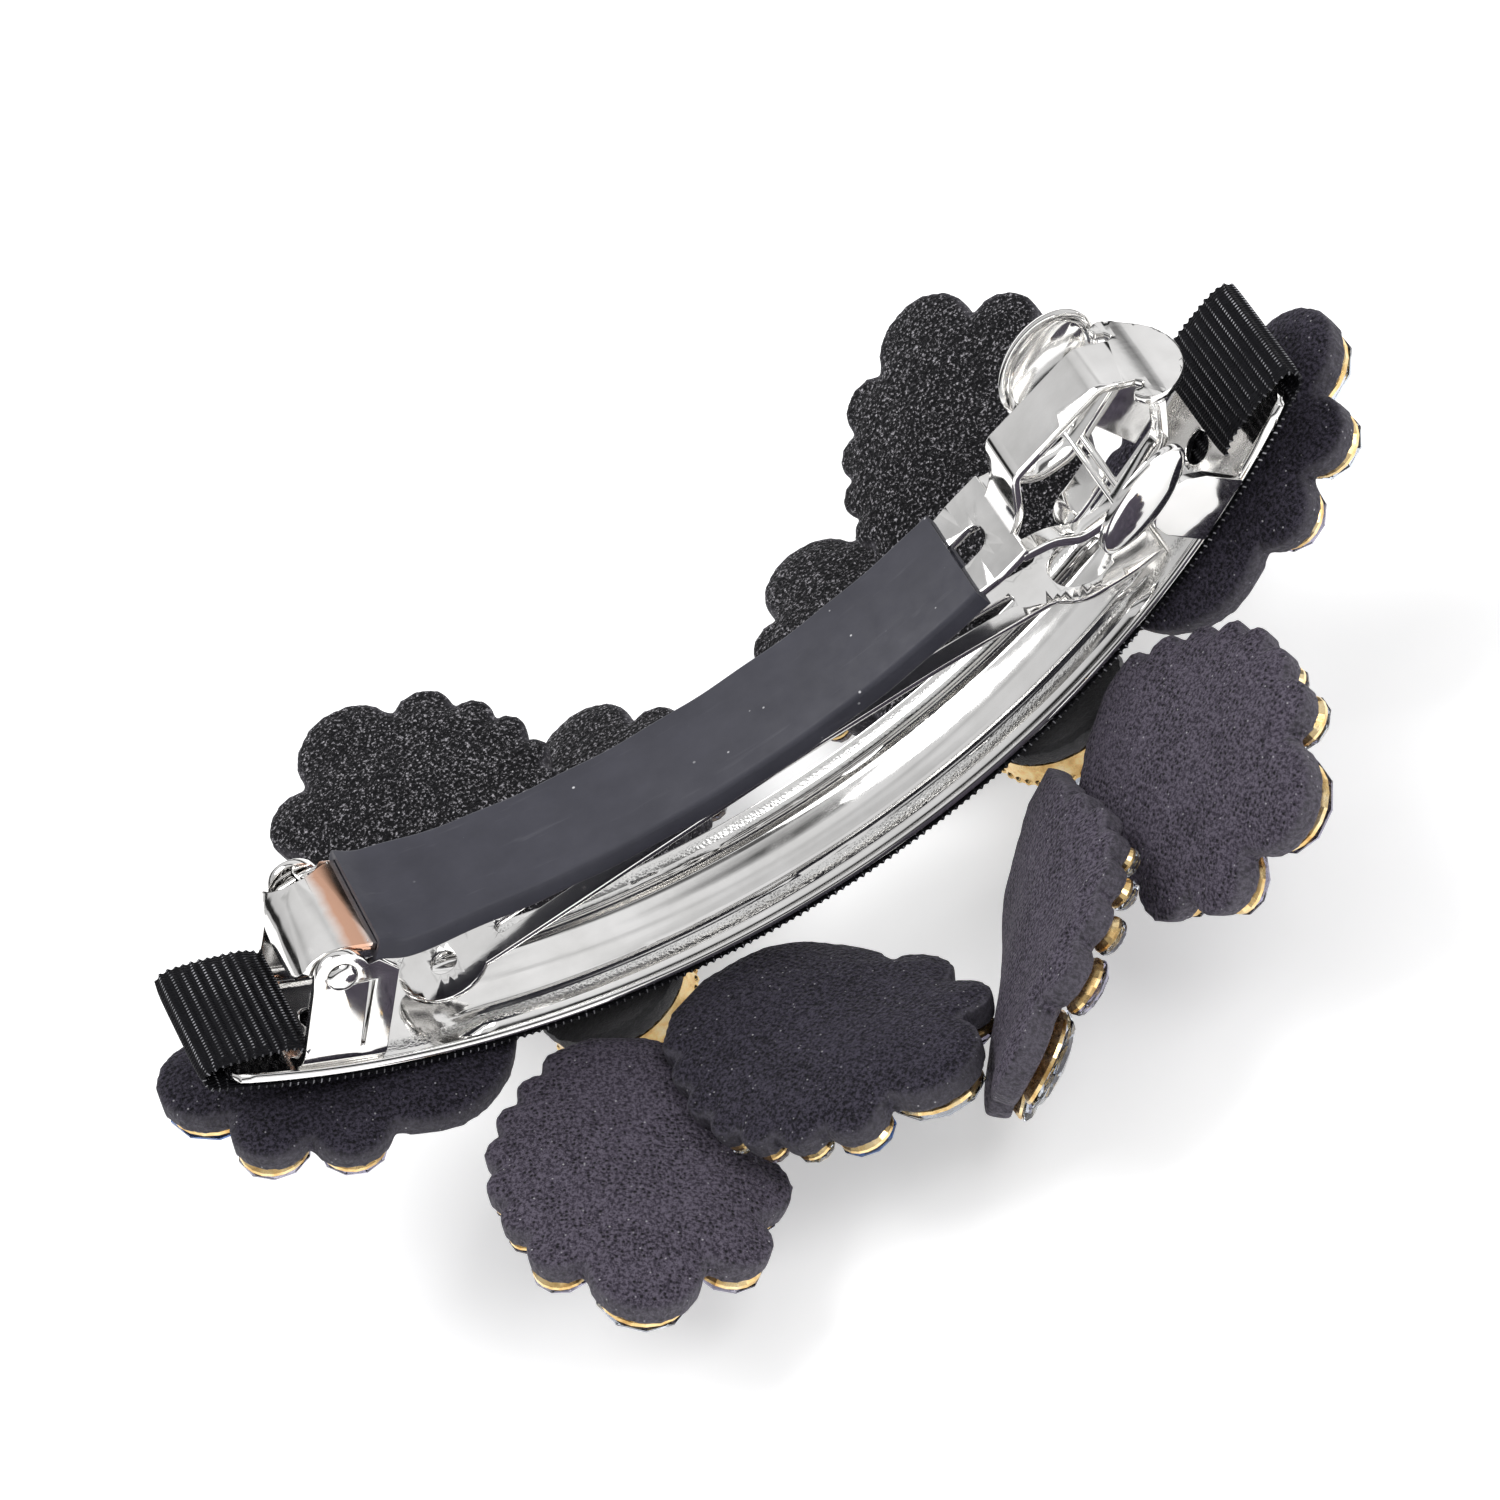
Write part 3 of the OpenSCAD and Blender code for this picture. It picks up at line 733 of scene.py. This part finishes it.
def make_sleeve():
    """A tight rubber tube round the arm, with rolled ends."""
    path = ARM_PATH
    start, end = path.s_at(SLEEVE_X[0]), path.s_at(SLEEVE_X[1])
    rows, corner = 110, 5
    wobble = random.Random(4)
    waves = [
        (wobble.uniform(0.15, 0.5), wobble.uniform(0, 6.3), wobble.uniform(0.01, 0.03))
        for _ in range(6)
    ]

    def ring(half_y, half_n, r):
        turns = [(half_y - r, half_n - r, 0), (-half_y + r, half_n - r, 90),
                 (-half_y + r, -half_n + r, 180), (half_y - r, -half_n + r, 270)]
        points = []
        for y, n, a in turns:
            points += arc(y, n, r, a, a + 90, corner)
        return points

    def section(s, wall):
        x = path.place(s, 0).x
        ripple = sum(h * math.sin(f * s * 2 + p) for f, p, h in waves)
        curl = 0.07 * (math.exp(-((s - start) / 0.5) ** 2) + math.exp(-((s - end) / 0.5) ** 2))
        half_y = half_width(min(x, 15)) + 0.04 + wall + ripple * 0.6 + curl
        half_n = ARM_T / 2 + 0.04 + wall + ripple * 0.3 + curl * 0.6
        return ring(half_y, half_n, min(0.35, half_n * 0.8) if wall else 0.12)

    bm = bmesh.new()
    stations = [start + (end - start) * i / (rows - 1) for i in range(rows)]
    loops = [(s, section(s, 0.45)) for s in stations]
    loops += [(end, section(end, 0.3)), (end - 0.08, section(end, 0.02))]
    loops += [(s, section(s, 0.01)) for s in reversed(stations[2:-2])]
    loops += [(start + 0.08, section(start, 0.02)), (start, section(start, 0.3))]
    count = len(loops[0][1])

    def point(i, j):
        s, ring_points = loops[i % len(loops)]
        y, n = ring_points[j]
        return path.place(s, y, n)

    grid(bm, len(loops) + 1, count, point, around=True)
    bmesh.ops.remove_doubles(bm, verts=bm.verts, dist=1e-4)
    face_out(bm)
    sleeve = smooth(new_object("rubber_sleeve", bm), 50)
    dress(sleeve, "arm", "rubber_sleeve", RUBBER, replaces=["arm_sleeve"])


# ---- tension bar
def make_bar():
    """The sprung strip: a fork at the hinge, two legs parted by a long slot, and an eye."""
    points = [(-27, 7.95), (-23, 7.65), (-12, 7.8), (0, 7.95), (12, 7.75), (21, 7.1), (25.5, 6.75),
              (27.8, 7.1)]
    path = Path(raised(eased(points, 2.0, 6)))
    s = path.s_at
    fork, eye, half = s(-24.5), s(23), 2.0
    outline = arc(fork, 0, 3.1, 40, 320, 24) + [(s(-21.2), -half), (s(20), -half)]
    outline += arc(eye, 0, 3.3, -140, -90, 6) + [(path.length, -3.3), (path.length, 3.3)]
    outline += arc(eye, 0, 3.3, 90, 140, 6) + [(s(20), half), (s(-21.2), half)]
    holes = [arc(fork, 0, 0.9, 0, 345, 23), arc(eye, 0, 2.1, 0, 350, 28),
             slot_outline(s(-20.6), s(18.2), 0.5)]
    bar = cut_sheet("tension_spring", outline, holes, lambda a, y: path.place(a, y), 0.4, step=0.5,
                    bevel=0.08)
    dress(bar, "bar", "plated_steel", NICKEL, replaces=["tension_bar"])


# ---- catch wings
def make_wing(name, side, body):
    """A sprung upright that leans outward and carries a dished oval finger pad."""
    to_arch = on_arch(WING_ANGLE) @ Matrix.Scale(side, 4, (0, 1, 0))
    upright = to_arch @ Matrix.Translation((0, HALF_W + 0.35, 0.1)) @ spin(-15, "X")
    outline = [(-2.35, 0), (2.35, 0), (2.35, 3.6), (1.9, 5.2), (1.2, 6.0), (-1.2, 6.0), (-1.9, 5.2),
               (-2.35, 3.6)]
    leg = cut_sheet(name + "_upright", outline, [], lambda x, y: upright @ Vector((x, 0.0, y)), 0.6,
                    step=1.0, bevel=0.12)
    dress(leg, body, "plated_steel", NICKEL)
    pad = to_arch @ Matrix.Translation((0, 7.85, 7.5)) @ spin(90 - 24, "X")
    bm = bmesh.new()
    rings, sides = 14, 64
    half_l, half_h, dish = 4.15, 2.7, 0.75

    def depth(t):
        rim = 0.16 * math.exp(-(((t - 0.93) / 0.05) ** 2))
        return dish * (t * t - 1) + rim

    def point(i, j):
        t = 0.02 + 0.98 * i / (rings - 1)
        a = math.tau * j / sides
        return pad @ Vector((half_l * t * math.cos(a), half_h * t * math.sin(a), depth(t) + 0.35))

    verts = grid(bm, rings, sides, point, around=True)
    bm.faces.new(verts[0])
    face_out(bm)
    dished = thicken(new_object(name + "_pad", bm), 0.45, 0.1)
    dress(dished, body, "plated_steel", NICKEL, replaces=[name])


# ---- ribbon
# How far apart the woven ribs are, and the loops along the edges
RIB = 0.68
SELVEDGE = 0.52


def make_ribbon():
    """Ribbed ribbon under the plate, folded over both ends of it and tucked in on top."""
    r = ARCH_R + SHEET + 0.25
    end_x = HALF_L - 0.2
    xs = [end_x * (i / 40 - 1) for i in range(81)]
    arch_points = [(x, ARCH_Z - LIFT - math.sqrt(r * r - x * x)) for x in xs]
    fold = [(34.0, 12.55), (34.6, 13.5), (37.0, 14.75), (39.4, 15.75), (40.35, 15.5), (40.4, 14.4)]
    right = eased([arch_points[-1]] + fold[::-1], 1.0, 6)[1:]
    left = [(-x, z) for x, z in reversed(right)]
    path = Path(raised(left + arch_points + right))
    rows = int(path.length / (SELVEDGE / 6))
    half, thick, turns = 5.0, 0.42, 14

    def point(i, j):
        s = path.length * i / (rows - 1)
        rib = 0.5 + 0.5 * math.cos(math.tau * s / RIB)
        edge = half + 0.04 * math.cos(math.tau * s / SELVEDGE)
        top = j < turns
        k = j if top else 2 * turns - 1 - j
        t = -1 + 2 * k / (turns - 1)
        bulge = abs(t) ** 9
        y = edge * t
        n = thick / 2 * (0.25 + 0.85 * rib ** 0.7) * (1 - 0.55 * bulge)
        n = max(n + 0.07 * bulge * math.cos(math.tau * s / SELVEDGE), 0.03)
        return path.place(s, y, n if top else -n)

    bm = bmesh.new()
    # crest is 1 on each rib's crest and each selvedge loop; the ribbon's material paints its glints
    # there
    crest = bm.verts.layers.float.new("crest")
    verts = grid(bm, rows, 2 * turns, point, around=True, capped=True)
    for i, row in enumerate(verts):
        s = path.length * i / (rows - 1)
        for j, v in enumerate(row):
            at_edge = j in (0, turns - 1, turns, 2 * turns - 1)
            pitch = SELVEDGE if at_edge else RIB
            v[crest] = 0.5 + 0.5 * math.cos(math.tau * (s / pitch - 0.12))
    face_out(bm)
    ribbon = smooth(new_object("ribbon_strip", bm), 60)
    dress(ribbon, "base", "ribbon", GROSGRAIN, replaces=["grosgrain_ribbon"])


# ---- petals
# The pad is blown up at this many times its size, where the cloth settings behave
SIM_SCALE = 20
LOBE_STEPS = 7


def petal_outline():
    """The scalloped outline: each lobe's arc runs between its crossings with its neighbours."""
    def facing(a, b):
        return math.degrees(math.atan2(b[1] - a[1], b[0] - a[0]))

    def crossing(a, b):
        d = math.dist(a[:2], b[:2])
        return math.degrees(math.acos((d * d + a[2] ** 2 - b[2] ** 2) / (2 * d * a[2])))

    def touching(a, b):
        return math.degrees(math.acos(a[2] / math.dist(a[:2], b[:2])))

    points = [ROOT_LOW]
    for i, lobe in enumerate(LOBES):
        before = facing(lobe, ROOT_LOW) + touching(lobe, ROOT_LOW)
        after = facing(lobe, PETAL_ROOT) - touching(lobe, PETAL_ROOT)
        if i > 0:
            before = facing(lobe, LOBES[i - 1]) + crossing(lobe, LOBES[i - 1])
        if i < len(LOBES) - 1:
            after = facing(lobe, LOBES[i + 1]) - crossing(lobe, LOBES[i + 1])
        points += arc(*lobe, before, before + (after - before) % 360, LOBE_STEPS)
    return points + [PETAL_ROOT]


def swell(obj, pressure, frames, cap):
    """Blows a closed mesh up as cloth, and lets no point move further than cap (in its own units)."""
    rest = [v.co.copy() for v in obj.data.vertices]
    cloth = obj.modifiers.new("Cloth", "CLOTH")
    cloth.settings.quality = 6
    cloth.settings.mass = 0.2
    cloth.settings.use_pressure = True
    cloth.settings.uniform_pressure_force = pressure
    cloth.settings.tension_stiffness = 40
    cloth.settings.compression_stiffness = 40
    cloth.settings.bending_stiffness = 2
    cloth.settings.effector_weights.gravity = 0
    scene = bpy.context.scene
    for number in range(1, frames + 1):
        scene.frame_set(number)
    settle(obj)
    for v, start in zip(obj.data.vertices, rest):
        moved = v.co - start
        if moved.length > cap:
            v.co = start + moved.normalized() * cap


def petal_blank():
    """The padded petal before it is bent, as a mesh in millimetres."""
    outline = petal_outline()
    bm = bmesh.new()
    half = PETAL_T / 2 * 0.92
    rings = [
        [bm.verts.new((x * SIM_SCALE * MM, y * SIM_SCALE * MM, z * SIM_SCALE * MM)) for x, y in outline]
        for z in (-half, half)
    ]
    bm.faces.new(rings[0][::-1])
    bm.faces.new(rings[1])
    for k in range(len(outline)):
        n = (k + 1) % len(outline)
        bm.faces.new((rings[0][k], rings[0][n], rings[1][n], rings[1][k]))
    blank = new_object("blank", bm, 1)
    remesh = blank.modifiers.new("Remesh", "REMESH")
    remesh.mode = "VOXEL"
    remesh.voxel_size = 0.36 * SIM_SCALE * MM
    settle(blank)
    swell(blank, pressure=4.0, frames=16, cap=0.35 * SIM_SCALE * MM)
    bm = bmesh.new()
    bm.from_mesh(blank.data)
    bmesh.ops.scale(bm, vec=(1 / SIM_SCALE / MM,) * 3, verts=bm.verts)
    face_out(bm)
    bpy.data.objects.remove(blank)
    crease(bm, outline)
    return bm


def crease(bm, outline):
    """Pinches the pad where lobes meet, and marks the pressed line just inside its edge as "rim"."""
    creases = lobe_creases()
    sides = [(Vector(a), Vector(b)) for a, b in zip(outline, outline[1:] + outline[:1])]
    rim = bm.verts.layers.float.new("rim")
    for v in bm.verts:
        p = v.co.xy
        inside = min(from_side(p, a, b) for a, b in sides)
        v[rim] = math.exp(-(((inside - 0.3) / 0.2) ** 2))
        pinch = 0.0
        for root, inward in creases:
            deep = (p - root).dot(inward)
            wide = abs((p - root).cross(inward))
            if -0.5 < deep < 2:
                pinch += 0.4 * math.exp(-((wide / 0.25) ** 2)) * (1 - step_up(deep, 0.0, 1.5))
        v.co.z *= 1 - min(pinch, 0.5)


def from_side(p, a, b):
    """Distance from a point to the straight line between two others."""
    along = b - a
    t = min(max((p - a).dot(along) / max(along.length_squared, 1e-9), 0.0), 1.0)
    return (p - a - along * t).length


def lobe_creases():
    """Where neighbouring lobes meet, and the way inward from there."""
    creases = []
    for a, b in zip(LOBES, LOBES[1:]):
        d = math.dist(a[:2], b[:2])
        t = (d * d + a[2] ** 2 - b[2] ** 2) / (2 * d * d)
        root = Vector((a[0] + (b[0] - a[0]) * t, a[1] + (b[1] - a[1]) * t))
        along = Vector((b[0] - a[0], b[1] - a[1])).normalized()
        outward = Vector((along.y, -along.x))
        if outward.dot(root - Vector((14, 0))) < 0:
            outward = -outward
        height = math.sqrt(max(a[2] ** 2 - (d * t) ** 2, 0))
        creases.append((root + outward * height, -outward))
    return creases


def bow(p, amount):
    """Carries a point of the flat petal onto its bowed shape, which is convex on the back."""
    across, along = amount
    x = max(p.x - 9, 0)
    fade = step_up(p.x, 5, 12)
    drop = across * p.y ** 2 * fade + along * x * x
    slope_y = 2 * across * p.y * fade
    slope_x = 2 * along * x
    normal = Vector((slope_x, slope_y, 1)).normalized()
    return Vector((p.x, p.y, -drop)) + normal * p.z


def placement(side, petal):
    """The frame of a petal, as the CAD model places it."""
    direction, rise, roll, out = petal
    mirror = Matrix.Scale(-1, 4, (1, 0, 0)) if side == "left" else Matrix.Identity(4)
    return (
        mirror
        @ Matrix.Translation((FLOWER_X, 0, FLOWER_Z - PETAL_T / 2))
        @ spin(direction, "Z")
        @ spin(-rise, "Y")
        @ spin(roll, "X")
        @ Matrix.Translation((out, 0, 0))
    )


def make_petal(side, number, blank):
    """One petal, bent from the blank; a mirrored one is turned right way round by flipping its mesh."""
    name = f"petal_{side}_{number + 1}"
    bend = BOWS[side][number]
    rng = random.Random(name)
    waves = [(rng.uniform(0.25, 0.6), rng.uniform(0.25, 0.6), rng.uniform(0, 6.3)) for _ in range(4)]
    matrix = placement(side, PETALS[side][number])
    stem = max(PETALS[side][number][3] - STEMLESS, 0)
    bm = blank.copy()
    for v in bm.verts:
        p = v.co.copy()
        p.x -= stem * (1 - step_up(p.x, PETAL_ROOT[0], PETAL_ROOT[0] + 2))
        p.z += 0.05 * sum(math.sin(fx * p.x + fy * p.y + ph) for fx, fy, ph in waves)
        v.co = bow(p, bend)
    if matrix.determinant() < 0:
        bmesh.ops.scale(bm, vec=(-1, 1, 1), verts=bm.verts)
        bmesh.ops.reverse_faces(bm, faces=bm.faces)
        matrix = matrix @ Matrix.Scale(-1, 4, (1, 0, 0))
    petal = new_object(name + "_pad", bm)
    matrix.translation = matrix.translation * MM
    petal.matrix_world = matrix
    subdivision = petal.modifiers.new("Subdivision", "SUBSURF")
    subdivision.levels = subdivision.render_levels = 1
    settle(petal)
    smooth(petal, 80)
    dress(petal, "base", "petal_cloth", FABRICS[side][number], replaces=[name])


# ---- stones
# The lobes that carry a stone, and how much of each lobe it covers
STONE_LOBES = {1: 0.8, 2: 0.86, 3: 0.84, 4: 0.86, 5: 0.72, 6: 0.66, 7: 0.66}


def add_stone(bm, matrix, r, deep, sides, glass):
    """A foil-backed cut stone: material 0 is the foil cup, and glass is the stone's."""
    foil = [(r * 0.72, 0.0), (r * 0.94, 0.3 * deep), (r * 0.96, 0.42 * deep), (r * 0.9, 0.44 * deep),
            (r * 0.02, 0.04 * deep)]
    turned(bm, foil, sides * 2, matrix, 0)
    crown = [(r * 0.02, 0.1 * deep), (r * 0.92, 0.47 * deep), (r, 0.52 * deep), (r * 0.99, 0.62 * deep),
             (r * 0.86, 0.82 * deep), (r * 0.52, deep)]
    turned(bm, crown, sides, matrix, glass, 0.5)


def make_stones(side, number):
    """The stones on the front of one petal."""
    name = f"stones_{side}_{number + 1}"
    bend = BOWS[side][number]
    matrix = placement(side, PETALS[side][number])
    rng = random.Random(name)
    bm = bmesh.new()
    for i, fill in STONE_LOBES.items():
        x, y, r = LOBES[i]
        seat = Matrix.Translation((x, y, -PETAL_T / 2 + 0.12)) @ spin(180, "X")
        seat = seat @ Matrix.Rotation(rng.uniform(0, 6.3), 4, "Z")
        glass = 1 + (rng.random() > 0.55) + (rng.random() > 0.8)
        add_stone(bm, seat, r * fill, 1.0 + 0.22 * r, 10, glass)
    for v in bm.verts:
        v.co = matrix @ bow(v.co, bend)
    face_out(bm)
    stones = new_object(name + "_cut", bm)
    dress(stones, "base", "crystal", GILT, CLEAR, SMOKY, BLUE, replaces=[name])


# ---- middles of the flowers
def make_middle(side, x):
    """Felt backing disc, gilt cup with a beaded rim, and its large and small stones."""
    felt_lo, felt_hi = (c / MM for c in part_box(f"felt_disc_{side}"))
    rng = random.Random(side)
    bm = bmesh.new()
    steps = 96
    edge = [rng.uniform(-0.08, 0.08) for _ in range(steps)]
    heights = [(4.3, felt_lo.z), (5.12, felt_lo.z + 0.1), (5.2, felt_lo.z + 0.6),
               (5.12, felt_hi.z - 0.1), (4.6, felt_hi.z)]

    def point(i, j):
        r, z = heights[i]
        a = math.tau * j / steps
        return Vector((x + (r + edge[j]) * math.cos(a), (r + edge[j]) * math.sin(a), z))

    grid(bm, len(heights), steps, point, around=True, capped=True)
    disc = smooth(new_object(f"felt_backing_{side}", bm), 50)
    dress(disc, "base", "felt", FELT, replaces=[f"felt_disc_{side}"])

    cup_lo, cup_hi = (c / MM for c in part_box(f"centre_cup_{side}"))
    bm = bmesh.new()
    top, rim = cup_hi.z, cup_lo.z
    profile = [(0.05, top - 0.02), (4.5, top - 0.02), (4.95, top - 0.25), (5.05, rim + 0.4),
               (5.1, rim + 0.1), (4.98, rim), (4.8, rim + 0.1), (4.7, top - 0.5), (4.4, top - 0.42),
               (0.05, top - 0.42)]
    seat = Matrix.Translation((x, 0, 0))
    turned(bm, profile, 72, seat)
    beads, beads_r = 40, 4.95
    for k in range(beads):
        a = math.tau * k / beads
        at = Matrix.Translation((x + beads_r * math.cos(a), beads_r * math.sin(a), rim + 0.25))
        bmesh.ops.create_icosphere(bm, subdivisions=2, radius=0.3, matrix=at)
    cup = smooth(new_object(f"gilt_cup_{side}", bm), 40)
    dress(cup, "base", "gilt_metal", GILT, replaces=[f"centre_cup_{side}"])

    stone_lo, stone_hi = (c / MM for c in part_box(f"centre_stones_{side}"))
    bm = bmesh.new()
    deep = stone_hi.z - stone_lo.z
    face_down = Matrix.Translation((x, 0, stone_hi.z - 0.02)) @ spin(180, "X")
    add_stone(bm, face_down, 3.4, deep - 0.02, 16, 1)
    small, ring_r = 14, 4.1
    for k in range(small):
        a = math.tau * k / small
        at = Matrix.Translation((ring_r * math.cos(a), ring_r * math.sin(a), 0))
        add_stone(bm, face_down @ at, 0.56, 2.4, 8, 1 + (k % 3 == 0))
    face_out(bm)
    centre = new_object(f"centre_cluster_{side}", bm)
    dress(centre, "base", "crystal", GILT, CLEAR, SMOKY, replaces=[f"centre_stones_{side}"])


# ---- camera, floor and light
def make_camera():
    """The camera, standing where the photo's was worked out to be."""
    right = Vector((0.8385, -0.3562, -0.4123)).normalized()
    forward = Vector((-0.0289, 0.7266, -0.6865)).normalized()
    up = right.cross(forward).normalized()
    right = forward.cross(up)
    data = bpy.data.cameras.new("camera")
    data.sensor_width = 36
    data.lens = 175.46
    data.clip_start, data.clip_end = 0.01, 20
    camera = add_object("camera", data)
    turn = Matrix((right, up, -forward)).transposed().to_4x4()
    camera.matrix_world = Matrix.Translation(Vector((12.41, -334.75, 325.23 + LIFT)) * MM) @ turn
    bpy.context.scene.camera = camera


# The floor glows a little, so that it comes out as white as the photo's ground
FLOOR_GLOW = 0.42


def make_floor():
    """White paper that everything stands on."""
    bm = bmesh.new()
    half = 3000
    grid(bm, 2, 2, lambda i, j: Vector((half * (2 * i - 1), half * (2 * j - 1), 0)))
    face_out(bm)
    floor = new_object("floor", bm)
    m = Shader("floor_paper")
    m.link(m.ramp(m.noise(3, 2), (0.3, 0.90), (0.7, 0.93)), "Base Color")
    m.set(Roughness=0.9, Specular_IOR_Level=0.1, Emission_Strength=FLOOR_GLOW)
    m.surface.inputs["Emission Color"].default_value = (1, 1, 1, 1)
    floor.data.materials.append(m.material)


def make_world():
    """A bright room with dark bands across it, which the plated parts mirror."""
    world = bpy.data.worlds.new("studio")
    world.use_nodes = True
    bpy.context.scene.world = world
    tree = world.node_tree
    place = tree.nodes.new("ShaderNodeTexCoord").outputs["Generated"]
    split = tree.nodes.new("ShaderNodeSeparateXYZ")
    tree.links.new(place, split.inputs[0])
    stops = [(0.0, 0.95), (0.10, 0.95), (0.14, 0.03), (0.28, 0.03), (0.35, 0.9), (0.54, 1.0),
             (0.60, 0.70), (0.65, 0.95), (0.75, 1.0), (0.80, 0.12), (0.87, 0.12), (0.92, 1.0)]
    bands = add_ramp(tree, split.outputs["Z"], [(at, (g, g, g * 1.01)) for at, g in stops])
    side = tree.nodes.new("ShaderNodeMapRange")
    side.inputs["From Min"].default_value = -0.7
    side.inputs["From Max"].default_value = 0.5
    side.inputs["To Min"].default_value = 0.74
    side.inputs["To Max"].default_value = 1.15
    tree.links.new(split.outputs["X"], side.inputs["Value"])
    shade = tree.nodes.new("ShaderNodeVectorMath")
    shade.operation = "SCALE"
    tree.links.new(bands, shade.inputs[0])
    tree.links.new(side.outputs["Result"], shade.inputs["Scale"])
    background = tree.nodes["Background"]
    tree.links.new(shade.outputs["Vector"], background.inputs["Color"])
    background.inputs["Strength"].default_value = 0.75


def soft_light(name, at, size, power):
    """A round lamp aimed at the middle of the clasp."""
    data = bpy.data.lights.new(name, "AREA")
    data.shape = "DISK"
    data.size = size
    data.energy = power
    light = add_object(name, data)
    light.location = at
    direction = Vector((0, 0, 0.012)) - Vector(at)
    light.rotation_euler = direction.to_track_quat("-Z", "Y").to_euler()


make_camera()
make_floor()
make_world()
soft_light("key", (-0.25, 0.30, 0.75), 0.6, 3.6)
soft_light("fill", (0.35, -0.35, 0.55), 0.35, 1.4)
bpy.context.scene.view_settings.view_transform = "Standard"

make_plate()
make_ear("hinge_ear_near", -1)
make_ear("hinge_ear_far", 1)
make_pin()
make_arm()
make_catch_head()
make_sleeve()
make_bar()
make_wing("catch_wing_near", -1, "wing_near")
make_wing("catch_wing_far", 1, "wing_far")
make_ribbon()
blank = petal_blank()
for side in ("right", "left"):
    for number in range(5):
        make_petal(side, number, blank)
        make_stones(side, number)
blank.free()
make_middle("right", FLOWER_X)
make_middle("left", -FLOWER_X)
